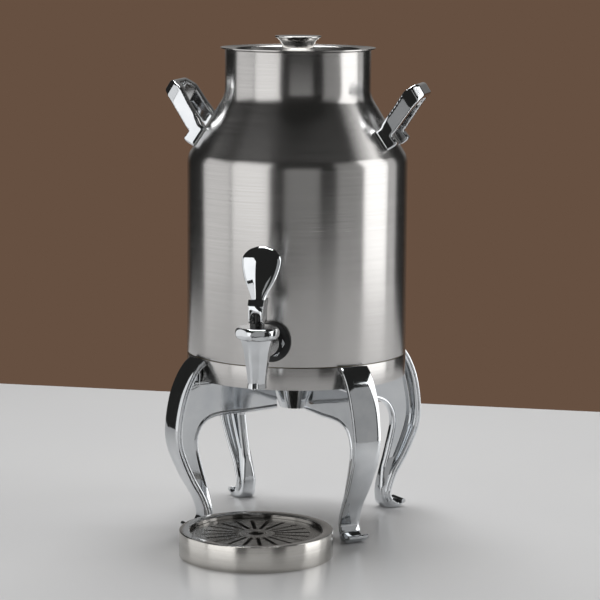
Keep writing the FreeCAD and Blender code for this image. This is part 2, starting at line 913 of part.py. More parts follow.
def make_stand():
    leg = leg_shape()
    names = ("leg_front_right", "leg_back_right", "leg_back_left", "leg_front_left")
    for name, angle in zip(names, leg_angles()):
        single(name, leg.copy(), spin(angle.value - 90))
    hub_low = s.drum_stand - s.hub_depth
    turned(
        "stand_hub",
        [
            (s.hub_bolt_radius, hub_low + s.hub_recess),
            (s.hub_counterbore, hub_low + s.hub_recess),
            (s.hub_counterbore, hub_low),
            (s.hub_low_radius, hub_low),
            (s.hub_high_radius, s.drum_stand),
            (s.hub_bolt_radius, s.drum_stand),
        ],
    )
    bolt_radius = s.hub_bolt_radius.value
    reach_up = (plate_top - hub_low - s.hub_recess).value + bolt_radius * 3
    bolt = hex_bolt(bolt_radius, reach_up, bolt_radius * 1.6, bolt_radius * 1.3)
    bolt.rotate(origin, FreeCAD.Vector(1, 0, 0), 180)
    bolt.translate(up * (hub_low + s.hub_recess).value)
    single("hub_bolt", bolt)
    nut = hex_prism(bolt_radius * 1.6, bolt_radius * 1.6, up * plate_top.value)
    nut = nut.cut(Part.makeCylinder(bolt_radius, bolt_radius * 4, up * (plate_top.value - bolt_radius)))
    single("hub_nut", nut)

    small = s.leg_bolt_radius.value
    length = s.base_plate_thick.value + s.leg_bolt_depth.value
    bolts = []
    for angle in leg_angles():
        for reach in (s.leg_bolt_outer.value, s.leg_bolt_inner.value):
            one = hex_bolt(small, length, small * 1.6, small * 1.4)
            one.translate(FreeCAD.Vector(reach, 0, plate_top.value))
            one.Placement = spin(angle.value - 90).multiply(one.Placement)
            bolts.append(one)
    group("leg_bolts", bolts)


# Handles: a boot-shaped bow that stands square off the shoulder
def handle_spots():
    """Side and tangential offset of every handle screw."""
    half = s.handle_screw_spacing / 2
    return [(side, offset) for side in (1, -1) for offset in (half, -half)]


def shoulder_spot(offset):
    """Radius and height of the shoulder where a handle screw goes through."""
    along = s.handle_low + s.handle_sole / 2
    radius = s.drum_radius - along * sine(s.shoulder_slope)
    height = shoulder_low + along * cosine(s.shoulder_slope)
    return radius, height


def screw_frame(side, offset):
    """Placement with its origin on the shoulder and +Z square out of it."""
    radius, height = shoulder_spot(offset)
    heading = 90 * side - side * math.degrees(math.asin(offset.value / radius.value))
    tilt = FreeCAD.Rotation(FreeCAD.Vector(0, 1, 0), 90 - s.shoulder_slope.value)
    turn = FreeCAD.Rotation(up, heading - 90)
    turned_tilt = turn.multiply(tilt)
    out = turn.multVec(FreeCAD.Vector(radius.value, 0, height.value))
    return FreeCAD.Placement(out, turned_tilt)


def drill_handle_hole(shell, number, side, offset):
    before = shell.Shape.Volume
    hole = shell.newObject("PartDesign::SubtractiveCylinder", f"handle_hole_{number + 1}")
    start = FreeCAD.Placement(FreeCAD.Vector(0, 0, -s.sheet_wall.value * 3), FreeCAD.Rotation())
    hole.Placement = screw_frame(side, offset).multiply(start)
    hole.setExpression("Radius", (s.handle_screw_radius + s.fit_gap).text)
    hole.setExpression("Height", (s.sheet_wall * 5).text)
    doc.recompute()
    if shell.Shape.Volume > before - 1:
        raise RuntimeError("a handle hole cut nothing")


def make_handles():
    reach = s.handle_reach
    low = s.handle_low
    sole = s.handle_sole
    rise = s.handle_rise
    # Local frame: X square out of the shoulder, Z up along it, Y along the drum
    boot = [
        (-reach * 0.35, low),
        (reach * 0.067, low),
        (reach * 0.145, low + sole * 0.06),
        (reach * 0.123, low + sole * 0.49),
        (reach * 0.2, low + sole * 0.545),
        (reach * 0.69, low + rise * 0.55),
        (reach, low + rise * 0.673),
        (reach, low + rise * 0.94),
        (reach * 0.942, low + rise),
        (reach * 0.72, low + rise * 0.98),
        (reach * 0.43, low + rise * 0.796),
        (reach * 0.083, low + sole * 1.165),
        (0.0, low + sole * 1.02),
        (-reach * 0.35, low + sole * 1.02),
    ]
    half = s.handle_half_width
    top_half = s.handle_top_half_width
    post = s.handle_post
    far = s.handle_reach * 2
    bar = reach - s.handle_bar
    gap = [
        (-far, post - half),
        (reach * 0.2, post - half),
        (reach * 0.62, post - half * 0.88),
        (bar, (post - half) * 0.5),
        (bar, (half - post) * 0.5),
        (reach * 0.62, half * 0.88 - post),
        (reach * 0.2, half - post),
        (-far, half - post),
    ]
    for name, side in (("handle_right", 1), ("handle_left", -1)):
        body = new_body(name + "_casting")
        pad(body, name + "_boot", "XZ_Plane", boot, half * 2)
        for number, sign in enumerate((-1, 1)):
            corner = [
                (reach * 0.2, sign * half),
                (reach * 0.68, sign * half * 0.86),
                (reach * 0.86, sign * half * 0.75),
                (reach, sign * top_half),
                (reach * 1.2, sign * top_half),
                (reach * 1.2, sign * half * 1.2),
                (reach * 0.2, sign * half * 1.2),
            ]
            pocket(body, f"{name}_corner_{number + 1}", "XY_Plane", corner)
        pocket(body, name + "_opening", "XY_Plane", gap)
        edges = handle_edges(body.Tip.Shape)
        round_off(body, name + "_edges", body.Tip, edges, s.handle_round)
        body.Placement = handle_frame(side)
        seat = doc.addObject("Part::Cone", name + "_seat")
        seat.setExpression("Radius1", s.drum_radius.text)
        seat.setExpression("Radius2", s.neck_radius.text)
        seat.setExpression("Height", shoulder_rise.text)
        place_at(seat, 0, 0, shoulder_low)
        stem = doc.addObject("Part::Cylinder", name + "_drum")
        stem.setExpression("Radius", s.drum_radius.text)
        stem.setExpression("Height", s.drum_wall_height.text)
        place_at(stem, 0, 0, ring_top)
        solid = doc.addObject("Part::MultiFuse", name + "_form")
        solid.Shapes = [seat, stem]
        cut = doc.addObject("Part::Cut", name + "_seated")
        cut.Base = body
        cut.Tool = solid
        doc.recompute()
        holes = []
        for spot_side, offset in handle_spots():
            if spot_side == side:
                hole = Part.makeCylinder(s.handle_screw_radius.value, s.handle_screw_bite.value * 1.5)
                hole.Placement = screw_frame(side, offset)
                holes.append(hole)
        single(name, cut.Shape.cut(holes))


def handle_edges(shape):
    """The long outer edges of the bow, which a casting has rounded."""
    found = []
    for number, edge in enumerate(shape.Edges, start=1):
        box = edge.BoundBox
        outside = box.XMin > s.handle_reach.value * 0.15
        if outside and box.YLength > 0.5 and box.XLength < 0.01 and box.ZLength < 0.01:
            found.append(f"Edge{number}")
    return found


def handle_frame(side):
    spot = FreeCAD.Vector(s.drum_radius.value, 0, shoulder_low.value)
    tilt = FreeCAD.Rotation(FreeCAD.Vector(0, 1, 0), -s.shoulder_slope.value)
    turn = FreeCAD.Rotation(up, 0 if side == 1 else 180)
    return FreeCAD.Placement(turn.multVec(spot), turn.multiply(tilt))


def make_handle_fixings():
    screws = []
    washers = []
    radius = s.handle_screw_radius.value
    wall = s.sheet_wall.value
    thick = s.handle_washer_thick.value
    inside = wall + s.fit_gap.value
    for side, offset in handle_spots():
        frame = screw_frame(side, offset)
        length = s.handle_screw_bite.value + inside + thick
        screw = hex_bolt(radius, length, radius * 1.6, radius * 1.3)
        screw.rotate(origin, FreeCAD.Vector(1, 0, 0), 180)
        screw.translate(up * -(inside + thick))
        screw.Placement = frame.multiply(screw.Placement)
        screws.append(screw)
        washer = Part.makeCylinder(s.handle_washer_radius.value, thick, up * -(inside + thick))
        washer = washer.cut(Part.makeCylinder(radius, thick * 3, up * -(inside + thick * 2)))
        washer.Placement = frame.multiply(washer.Placement)
        washers.append(washer)
    group("handle_screws", screws)
    group("handle_washers", washers)


# Tap: shank, spout, bonnet, stem and lever
ahead = FreeCAD.Vector(0, -1, 0)
tap_axis = FreeCAD.Vector(0, -s.tap_reach.value, 0)


def tap_point(height):
    return tap_axis + up * as_size(height).value


def y_cylinder(radius, start, end):
    """A cylinder along Y at tap height, between two distances from the drum's axis."""
    return Part.makeCylinder(radius, end - start, FreeCAD.Vector(0, -start, tap_height.value), ahead)


def spout_solid():
    bottom = spout_bottom.value
    waist = spout_waist.value
    top = spout_top.value
    rings = [
        (bottom, s.spout_bottom_radius.value),
        (waist, s.spout_waist_radius.value),
        (top, s.spout_top_radius.value),
    ]
    lower = Part.makeCone(rings[0][1], rings[1][1], waist - bottom, tap_point(bottom))
    upper = Part.makeCone(rings[1][1], rings[2][1], top - waist, tap_point(waist))
    sections = []
    for height, radius in rings:
        corner = radius * s.spout_flat_share.value
        points = [
            tap_point(height)
            + FreeCAD.Vector(
                corner * math.cos(math.radians(22.5 + 45 * k)),
                corner * math.sin(math.radians(22.5 + 45 * k)),
                0,
            )
            for k in range(9)
        ]
        sections.append(Part.makePolygon(points))
    facets = Part.makeLoft(sections, True, True)
    return lower.fuse(upper).common(facets)


def make_tap():
    reach = s.tap_reach.value
    drum = s.drum_radius.value
    height = tap_height.value
    washer_face = drum + s.tap_washer_thick.value
    drum_form = Part.makeCylinder(drum, height * 2)
    tank_hollow = Part.makeCylinder((tank_radius - s.sheet_wall).value, height * 2)

    washer = y_cylinder(s.tap_washer_radius.value, drum * 0.9, washer_face)
    washer = washer.cut([drum_form, y_cylinder(s.shank_radius.value, drum * 0.8, reach)])
    single("tap_washer", washer)

    seal_end = (tank_radius - s.sheet_wall - s.tap_seal_thick).value
    nut_end = seal_end - s.tap_nut_thick.value
    shank_end = nut_end - s.shank_end.value
    shank = y_cylinder(s.shank_radius.value, shank_end, reach)
    skirt = Part.makeCone(
        s.skirt_radius.value,
        s.spout_waist_radius.value * 0.8,
        reach - washer_face,
        FreeCAD.Vector(0, -washer_face, height),
        ahead,
    )
    collar = hex_prism(s.collar_half_flat.value, s.collar_thick.value, origin)
    collar.rotate(origin, FreeCAD.Vector(1, 0, 0), 90)
    collar.translate(FreeCAD.Vector(0, -washer_face, height))
    neck = Part.makeCylinder(s.tap_neck_radius.value, s.tap_neck_height.value, tap_point(spout_top))
    body = spout_solid().fuse([shank, skirt, collar, neck])
    overhead = Part.makeBox(
        reach, reach, height, FreeCAD.Vector(-reach / 2, -reach * 1.5, spout_top.value)
    ).cut(Part.makeCylinder(s.tap_neck_radius.value, height, tap_point(spout_top)))
    body = body.cut(overhead)
    outlet = (seat_height - spout_bottom).value + over * 2
    chamber = (spout_top + s.tap_neck_height - seat_height).value + over
    body = body.cut(
        [
            Part.makeCylinder(s.spout_bore.value, outlet, tap_point(spout_bottom - over)),
            Part.makeCylinder(s.chamber_radius.value, chamber, tap_point(seat_height)),
            y_cylinder(s.shank_bore.value, shank_end - over, reach),
        ]
    )
    single("tap_body", body.removeSplitter())

    seal = y_cylinder(s.tap_seal_radius.value, seal_end, drum)
    seal = seal.common(tank_hollow).cut(y_cylinder(s.shank_radius.value, over, drum))
    single("tap_inner_seal", seal)
    nut = hex_prism(s.tap_nut_flat.value, s.tap_nut_thick.value, origin)
    nut.rotate(origin, FreeCAD.Vector(1, 0, 0), 90)
    nut.translate(FreeCAD.Vector(0, -nut_end, height))
    single("tap_nut", nut.cut(y_cylinder(s.shank_radius.value, over, drum)))
    spacer = y_cylinder((s.shank_radius + s.spacer_wall).value, over, drum)
    shell_hollow = Part.makeCylinder(drum - s.sheet_wall.value, height * 2)
    tank_form = Part.makeCylinder(tank_radius.value, height * 2)
    spacer = spacer.common(shell_hollow).cut([tank_form, y_cylinder(s.shank_radius.value, over, drum * 2)])
    spacer = max(spacer.Solids, key=lambda solid: -solid.CenterOfMass.y)
    single("shank_spacer", spacer)


def make_bonnet():
    low = spout_top
    high = bonnet_top
    tall = s.bonnet_height
    wide = s.bonnet_radius
    neck = s.tap_neck_radius + s.fit_gap / 6
    ceiling = low + s.tap_neck_height + s.bonnet_seal_thick
    gland_low = high - s.gland_seat
    bonnet = new_body("tap_bonnet")
    revolve(
        bonnet,
        [
            (neck, low),
            (s.spout_top_radius, low),
            (wide * 0.918, low + tall * 0.1),
            (wide, low + tall * 0.4),
            (wide, low + tall * 0.6),
            (wide * 0.893, low + tall * 0.87),
            (s.gland_flange * 1.19, high - tall * 0.05),
            (s.gland_flange, high),
            (s.gland_radius, high),
            (s.gland_radius, gland_low),
            (s.bonnet_cavity, gland_low),
            (s.bonnet_cavity, ceiling),
            (neck, ceiling),
        ],
    )
    facet = bonnet.newObject("PartDesign::SubtractiveBox", "bonnet_facet")
    facet.setExpression("Length", wide.text)
    facet.setExpression("Width", (wide * 2).text)
    facet.setExpression("Height", s.bonnet_height.text)
    place_at(facet, s.bonnet_facet, -wide, low)
    doc.recompute()
    ring = bonnet.newObject("PartDesign::PolarPattern", "bonnet_facets")
    ring.Originals = [facet]
    ring.Axis = (origin_item(bonnet, "Z_Axis"), [""])
    ring.Angle = 360
    ring.Occurrences = 6
    bonnet.Tip = ring
    place_at(bonnet, 0, -s.tap_reach, 0)
    turn = FreeCAD.Rotation(up, s.bonnet_facet_turn.value - 90)
    bonnet.Placement = FreeCAD.Placement(bonnet.Placement.Base, turn)
    keep(bonnet, "tap_bonnet")

    seal_low = low + s.tap_neck_height
    seal = turned(
        "bonnet_seal",
        [
            (s.chamber_radius, seal_low),
            (s.tap_neck_radius, seal_low),
            (s.tap_neck_radius, ceiling),
            (s.chamber_radius, ceiling),
        ],
    )
    place_at(seal, 0, -s.tap_reach, 0)
    bore = s.stem_radius + s.stem_run_gap
    gland = turned(
        "stem_gland",
        [
            (bore, gland_low),
            (s.gland_radius, gland_low),
            (s.gland_radius, high),
            (s.gland_flange, high),
            (s.gland_flange, high + s.gland_flange_thick),
            (bore, high + s.gland_flange_thick),
        ],
    )
    place_at(gland, 0, -s.tap_reach, 0)


def make_stem():
    cup_low = seat_height + s.fit_gap
    cup_top = cup_low + s.cup_height
    socket = cup_top - s.cup_height * 0.5
    inner = s.cup_radius - s.cup_wall
    cup = turned(
        "seat_cup",
        [
            (0, socket - s.cup_wall),
            (inner * 0.6, socket - s.cup_wall),
            (inner, cup_low),
            (s.cup_radius, cup_low),
            (s.cup_radius, cup_low + s.cup_height * 0.3),
            (s.cup_radius - s.cup_wall / 2, cup_top),
            (s.stem_radius, cup_top),
            (s.stem_radius, socket),
            (0, socket),
        ],
    )
    place_at(cup, 0, -s.tap_reach, 0)
    stem_low = socket.value
    stem = Part.makeCylinder(s.stem_radius.value, stem_top.value - stem_low, tap_point(stem_low))
    pin = Part.makeCylinder(
        s.pin_radius.value,
        fork_half.value * 2,
        tap_point(pin_height) + FreeCAD.Vector(-fork_half.value, 0, 0),
        FreeCAD.Vector(1, 0, 0),
    )
    single("tap_stem", stem.cut(pin))
    single("lever_pin", pin)

    ceiling = (bonnet_top - s.gland_seat).value
    wire = s.spring_wire.value
    bottom = cup_top.value + wire
    span = ceiling - bottom - wire
    turns = s.spring_turns.value
    coil = Part.makeHelix(span / turns, span, s.spring_radius.value)
    coil.translate(tap_point(bottom))
    start = tap_point(bottom) + FreeCAD.Vector(s.spring_radius.value, 0, 0)
    section = Part.Wire(Part.makeCircle(wire, start, FreeCAD.Vector(0, 1, 0)))
    spring = Part.Wire(coil.Edges).makePipeShell([section], True, True)
    single("stem_spring", spring)


def ellipse(center, half_wide, half_thick, normal, wide):
    thick = normal.cross(wide)
    points = []
    for k in range(24):
        angle = 2 * math.pi * k / 24
        points.append(center + wide * (half_wide * math.cos(angle)) + thick * (half_thick * math.sin(angle)))
    curve = Part.BSplineCurve()
    curve.interpolate(points, True)
    return Part.Wire(curve.toShape())


def make_lever():
    half = fork_half.value
    low = (bonnet_top + s.gland_flange_thick + s.fork_rest_gap).value
    high = fork_top.value
    axis_y = -s.tap_reach.value
    front = axis_y - s.fork_front.value
    back = axis_y + s.fork_back.value
    toe = s.fork_toe_round.value
    fork = Part.makeBox(half * 2, back - front, high - low, FreeCAD.Vector(-half, front, low))
    toe_block = Part.makeBox(half * 2, toe, toe, FreeCAD.Vector(-half, front, low))
    toe_rod = Part.makeCylinder(toe, half * 2, FreeCAD.Vector(-half, front + toe, low + toe),
                                FreeCAD.Vector(1, 0, 0))
    fork = fork.cut(toe_block.cut(toe_rod))
    slot = slot_half.value
    stem_room = (s.stem_radius + s.fork_arch_gap).value
    arch_height = stem_top.value - math.sqrt(slot * slot - stem_room * stem_room)
    slot_box = Part.makeBox(slot * 2, back - front, arch_height - low, FreeCAD.Vector(-slot, front, low))
    arch = Part.makeCylinder(slot, back - front, FreeCAD.Vector(0, front, arch_height),
                             FreeCAD.Vector(0, 1, 0))
    fork = fork.cut([slot_box, arch])

    step = s.lever_collar_step.value
    collar_half = half + step
    rise = s.lever_collar_rise.value
    lean = math.radians(s.paddle_lean.value)
    along = FreeCAD.Vector(0, math.sin(lean), math.cos(lean))
    wide = FreeCAD.Vector(1, 0, 0)
    foot = FreeCAD.Vector(0, axis_y + step * 2, high)
    collar_low = high - step * 2
    collar_top = high + rise
    collar_points = [(front + step, collar_low), (back - step, collar_low), (back + step, collar_top),
                     (axis_y - slot, collar_top)]
    corners = [FreeCAD.Vector(-collar_half, y, z) for y, z in collar_points + collar_points[:1]]
    collar = Part.Face(Part.makePolygon(corners)).extrude(wide * (collar_half * 2))
    collar = collar.cut(Part.makeCylinder(slot, back - front, FreeCAD.Vector(0, front, arch_height),
                                          FreeCAD.Vector(0, 1, 0)))

    # Shares of the paddle's length, half width and half thickness
    neck = s.paddle_neck_half_width.value / s.paddle_half_width.value
    sections = [(0.0, neck, 0.80), (0.12, 0.44, 0.84), (0.25, 0.61, 0.90), (0.40, 0.79, 0.97),
                (0.55, 0.92, 1.0), (0.68, 0.99, 1.0), (0.78, 1.0, 0.95), (0.87, 0.88, 0.80),
                (0.95, 0.64, 0.54), (1.0, 0.34, 0.28)]
    start = foot + along * (rise * 0.6)
    wires = [
        ellipse(
            start + along * (s.paddle_length.value * share),
            s.paddle_half_width.value * wide_share,
            s.paddle_half_thick.value * thick_share,
            along,
            wide,
        )
        for share, wide_share, thick_share in sections
    ]
    paddle = Part.makeLoft(wires, True, False)
    lever = fork.fuse([collar, paddle])
    pin_bore = Part.makeCylinder(s.pin_radius.value, half * 2,
                                 tap_point(pin_height) + FreeCAD.Vector(-half, 0, 0), wide)
    single("tap_lever", lever.cut(pin_bore).removeSplitter())


# Drip tray: skirt with a sloped rim, basin and slotted grid
def make_tray():
    radius = s.tray_radius
    wall = s.tray_wall
    inner_rim = radius - s.tray_rim
    well = s.tray_height - s.tray_rim_dip - s.tray_well
    ledge = well - s.grid_thick
    skirt = turned(
        "tray_skirt",
        [
            (radius - wall, 0),
            (radius, 0),
            (radius, s.tray_height),
            (inner_rim, s.tray_height - s.tray_rim_dip),
            (inner_rim, ledge),
            (inner_rim + wall, ledge),
            (inner_rim + wall, s.tray_height - s.tray_rim_dip - wall),
            (radius - wall, s.tray_height - wall),
        ],
    )
    basin_wall = inner_rim - s.tray_ledge
    basin = turned(
        "tray_basin",
        [
            (0, 0),
            (radius - wall, 0),
            (radius - wall, wall),
            (basin_wall, wall),
            (basin_wall, ledge - wall),
            (inner_rim + wall, ledge - wall),
            (inner_rim + wall, ledge),
            (basin_wall - wall, ledge),
            (basin_wall - wall, wall * 2),
            (0, wall * 2),
        ],
    )
    grid = new_body("tray_grid")
    rim = inner_rim - s.fit_gap * 2
    revolve(grid, [(s.grid_hole, ledge), (rim, ledge), (rim, well), (s.grid_hole, well)])
    half = s.grid_slot_width / 2
    inner = s.grid_slot_inner
    outer = s.grid_slot_outer
    sketch = sketch_on(grid, "slot_sketch", "XY_Plane", ledge)
    round_end = s.grid_slot_width * 0.6
    outline(
        sketch,
        [(inner, half), (inner, -half, round_end, -1), (outer, -half), (outer, half, round_end, -1)],
    )
    slot = grid.newObject("PartDesign::Pocket", "slot")
    slot.Profile = sketch
    slot.Type = "ThroughAll"
    slot.SideType = "Symmetric"
    doc.recompute()
    ring = grid.newObject("PartDesign::PolarPattern", "slots")
    ring.Originals = [slot]
    ring.Axis = (origin_item(grid, "Z_Axis"), [""])
    ring.Angle = 360
    ring.setExpression("Occurrences", s.grid_slots.text)
    grid.Tip = ring
    keep(grid, "tray_grid")
    for item in (skirt, basin, grid):
        place_at(item, s.tray_shift, -s.tray_reach, 0)


make_drum()
make_tank()
make_lid()
make_stand()
make_handles()
make_handle_fixings()
make_tap()
make_bonnet()
make_stem()
make_lever()
make_tray()
doc.recompute()

# Every object has to be sound before anything is written
for item in doc.Objects:
    if "Invalid" in item.State or "Error" in item.State:
        raise RuntimeError(f"{item.Label} did not build: {item.State}")
for item in nodes:
    if item.Shape.isNull() or not item.Shape.isValid():
        raise RuntimeError(f"{item.Label} has no valid shape")

os.makedirs("parts", exist_ok=True)
for item in nodes:
    item.Shape.exportStep(f"parts/{item.Label}.step")
print(f"{len(nodes)} nodes written")
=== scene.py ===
import json
import math

import bmesh
import bpy
from mathutils import Matrix, Vector


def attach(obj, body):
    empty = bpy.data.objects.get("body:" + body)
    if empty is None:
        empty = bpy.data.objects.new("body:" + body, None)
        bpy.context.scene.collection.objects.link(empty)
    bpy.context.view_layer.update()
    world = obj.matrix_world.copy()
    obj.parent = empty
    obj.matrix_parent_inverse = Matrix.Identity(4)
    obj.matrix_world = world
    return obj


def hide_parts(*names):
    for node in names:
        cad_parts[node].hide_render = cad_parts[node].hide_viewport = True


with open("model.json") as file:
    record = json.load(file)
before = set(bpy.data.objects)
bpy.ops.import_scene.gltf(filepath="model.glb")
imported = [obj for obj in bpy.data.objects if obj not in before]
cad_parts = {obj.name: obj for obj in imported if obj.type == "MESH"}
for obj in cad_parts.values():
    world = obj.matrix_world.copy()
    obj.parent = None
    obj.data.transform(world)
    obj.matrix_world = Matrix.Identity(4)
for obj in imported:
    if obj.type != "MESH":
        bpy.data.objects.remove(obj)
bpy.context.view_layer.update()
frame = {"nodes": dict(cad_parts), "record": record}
nodes = frame["nodes"]

# Hot water urn: a brushed stainless drum on four chrome legs, with two cast handles,
# a lever tap and a drip tray. All sizes below are in millimetres until put() scales them.

DRUM_RADIUS = 127.0
DRUM_LOW = 175.6
RING_TOP = 201.3
SEAM_GAP = 0.35
SHOULDER_LOW = 427.1
SHOULDER_HIGH = 496.8
NECK_RADIUS = 84.0
NECK_TOP = 549.0
SHEET = 1.0
LID_SHEET = 1.2
PAN_LOW = NECK_TOP - 8.8
TAP_REACH = 195.0
TAP_HEIGHT = 230.5
TRAY_CENTRE = (-4.8, -176.9)
WELD = 0.002
CAMERA_TURN = 12.5


# Finishes

def colour(code):
    """An sRGB hex value as the linear colour that a shader takes."""
    parts = [int(code[i:i + 2], 16) / 255 for i in (1, 3, 5)]
    return [p / 12.92 if p <= 0.04045 else ((p + 0.055) / 1.055) ** 2.4 for p in parts] + [1.0]


def add(tree, kind, settings=None, links=None):
    """A node with its settings and its links, by socket name or place."""
    node = tree.nodes.new(kind)
    for key, value in (settings or {}).items():
        if isinstance(key, int) or key in node.inputs:
            node.inputs[key].default_value = value
        else:
            setattr(node, key, value)
    for key, source in (links or {}).items():
        tree.links.new(source, node.inputs[key])
    return node


def finish(name, **sockets):
    """A material with a Principled shader whose even values sit on its own sockets."""
    material = bpy.data.materials.new(name)
    material.use_nodes = True
    tree = material.node_tree
    shader = tree.nodes["Principled BSDF"]
    for key, value in sockets.items():
        shader.inputs[key.replace("_", " ")].default_value = value
    place = add(tree, "ShaderNodeTexCoord")
    return material, tree, shader, place.outputs["Object"]


def vary(tree, value, low, high):
    """A pattern's 0 to 1 value spread between two limits."""
    return add(
        tree, "ShaderNodeMapRange",
        {"From Min": 0.3, "From Max": 0.7, "To Min": low, "To Max": high},
        {"Value": value},
    ).outputs["Result"]


def brushed_stainless(name, centre, dark="#B7B5B3", light="#BFBDBB", rough=0.24):
    """Stainless sheet brushed while it turns. The grit leaves rings round the axis, about 0.3 mm
    wide; they are drawn 1.2 mm wide so that they show. They stretch each reflection upwards."""
    material, tree, shader, place = finish(
        name, Metallic=1.0, Anisotropic=0.75, Anisotropic_Rotation=0.25
    )
    middle = add(tree, "ShaderNodeMapping",
                 {"Location": (-centre[0] / 1000, -centre[1] / 1000, 0)}, {"Vector": place})
    parts = add(tree, "ShaderNodeSeparateXYZ", links={0: middle.outputs[0]})
    flat = add(tree, "ShaderNodeCombineXYZ",
               links={"X": parts.outputs["X"], "Y": parts.outputs["Y"]})
    radius = add(tree, "ShaderNodeVectorMath", {"operation": "LENGTH"}, {0: flat.outputs[0]})
    along = add(tree, "ShaderNodeMath", {"operation": "MULTIPLY", 1: 0.012}, {0: parts.outputs["X"]})
    rings = add(tree, "ShaderNodeCombineXYZ",
                links={"X": radius.outputs["Value"], "Y": parts.outputs["Z"], "Z": along.outputs[0]})
    grit = add(tree, "ShaderNodeTexNoise", {"Scale": 830.0, "Detail": 2.0, "Roughness": 0.6},
               {"Vector": rings.outputs[0]})
    cloud = add(tree, "ShaderNodeTexNoise", {"Scale": 9.0, "Detail": 2.0}, {"Vector": place})
    tone = add(tree, "ShaderNodeMix", {"data_type": "RGBA", "A": colour(dark), "B": colour(light)},
               {"Factor": vary(tree, grit.outputs["Fac"], 0.0, 1.0)})
    tree.links.new(tone.outputs["Result"], shader.inputs["Base Color"])
    wear = add(tree, "ShaderNodeMath", {"operation": "ADD"},
               {0: vary(tree, grit.outputs["Fac"], rough - 0.015, rough + 0.02),
                1: vary(tree, cloud.outputs["Fac"], -0.01, 0.015)})
    tree.links.new(wear.outputs[0], shader.inputs["Roughness"])
    relief = add(tree, "ShaderNodeBump", {"Strength": 0.012, "Distance": 0.0003},
                 {"Height": grit.outputs["Fac"]})
    tree.links.new(relief.outputs[0], shader.inputs["Normal"])
    tangent = add(tree, "ShaderNodeTangent", {"direction_type": "RADIAL", "axis": "Z"})
    tree.links.new(tangent.outputs[0], shader.inputs["Tangent"])
    return material


def mirror_metal(name, dark, light, rough, wave, wave_size, fine=0.0):
    """Plated or polished metal: nearly a mirror, with the slight waves of the casting or the
    buffing wheel under it and faint haze where hands wipe it."""
    material, tree, shader, place = finish(name, Metallic=1.0)
    swell = add(tree, "ShaderNodeTexNoise", {"Scale": 1000.0 / wave_size, "Detail": 2.0},
                {"Vector": place})
    haze = add(tree, "ShaderNodeTexNoise", {"Scale": 40.0, "Detail": 4.0}, {"Vector": place})
    tone = add(tree, "ShaderNodeMix", {"data_type": "RGBA", "A": colour(dark), "B": colour(light)},
               {"Factor": vary(tree, haze.outputs["Fac"], 0.0, 1.0)})
    tree.links.new(tone.outputs["Result"], shader.inputs["Base Color"])
    tree.links.new(vary(tree, haze.outputs["Fac"], rough, rough * 1.7), shader.inputs["Roughness"])
    relief = add(tree, "ShaderNodeBump", {"Strength": wave, "Distance": 0.001},
                 {"Height": swell.outputs["Fac"]})
    if fine:
        pits = add(tree, "ShaderNodeTexNoise", {"Scale": 900.0, "Detail": 2.0}, {"Vector": place})
        relief = add(tree, "ShaderNodeBump", {"Strength": fine, "Distance": 0.0003},
                     {"Height": pits.outputs["Fac"], "Normal": relief.outputs[0]})
    tree.links.new(relief.outputs[0], shader.inputs["Normal"])
    return material


def moulded(name, dark, light, rough, grain_size, depth, **sockets):
    """Rubber, silicone, polymer or wool: a matt body with a fine even grain."""
    material, tree, shader, place = finish(name, **sockets)
    grain = add(tree, "ShaderNodeTexNoise", {"Scale": 1000.0 / grain_size, "Detail": 3.0},
                {"Vector": place})
    tone = add(tree, "ShaderNodeMix", {"data_type": "RGBA", "A": colour(dark), "B": colour(light)},
               {"Factor": vary(tree, grain.outputs["Fac"], 0.0, 1.0)})
    tree.links.new(tone.outputs["Result"], shader.inputs["Base Color"])
    wear = vary(tree, grain.outputs["Fac"], rough - 0.05, rough + 0.08)
    tree.links.new(wear, shader.inputs["Roughness"])
    relief = add(tree, "ShaderNodeBump", {"Strength": depth, "Distance": 0.0004},
                 {"Height": grain.outputs["Fac"]})
    tree.links.new(relief.outputs[0], shader.inputs["Normal"])
    return material


# The drum's sheet: mid grey, with soft upright bands
brushed = brushed_stainless("brushed_stainless_drum", (0, 0))
# The tray's skirt is brushed finer, and its base colour is painted lighter than the drum's as painted
# light. Its grid is rougher, and its base colour is painted darker as painted shade
tray_steel_painted_light = brushed_stainless("brushed_stainless_tray_painted_light", TRAY_CENTRE, "#CDCAC5", "#D8D5D0", 0.22)
# The grid's steel has its base colour painted darker, as painted shade
grid_steel_painted_shade = brushed_stainless("brushed_stainless_grid_painted_shade", TRAY_CENTRE, "#918E8A", "#A5A29D", 0.27)
# The tray's rim is turned until it shines, so its reflections are nearly clear
rim_turned = brushed_stainless("fine_turned_stainless_rim", TRAY_CENTRE, "#B4B2AF", "#BCBAB7", 0.11)
# Hidden sheet as the mill leaves it: an even, soft sheen
satin = mirror_metal("satin_stainless_sheet", "#A9A8A6", "#B7B6B4", 0.28, 0.04, 12.0, 0.03)
# Chrome plate: hard dark and bright patches, slightly bluish, wavier on the rougher castings
chrome = mirror_metal("chrome_plate_smooth", "#CDD0D3", "#D8DADC", 0.03, 0.03, 26.0)
chrome_cast = mirror_metal("chrome_plate_on_casting", "#C7CACD", "#D4D6D8", 0.05, 0.05, 16.0, 0.03)
# Turned knob and pins: bright, with a slight haze
polished = mirror_metal("polished_turned_steel", "#ADACAA", "#BEBDBB", 0.10, 0.03, 18.0)
# Zinc plate and drawn wire: dull blue-grey and dark grey, with blurred highlights
zinc = mirror_metal("zinc_plated_steel", "#8E9194", "#A4A7AA", 0.28, 0.06, 6.0, 0.1)
spring_wire = mirror_metal("drawn_spring_wire", "#77777A", "#8E8E91", 0.22, 0.05, 4.0)
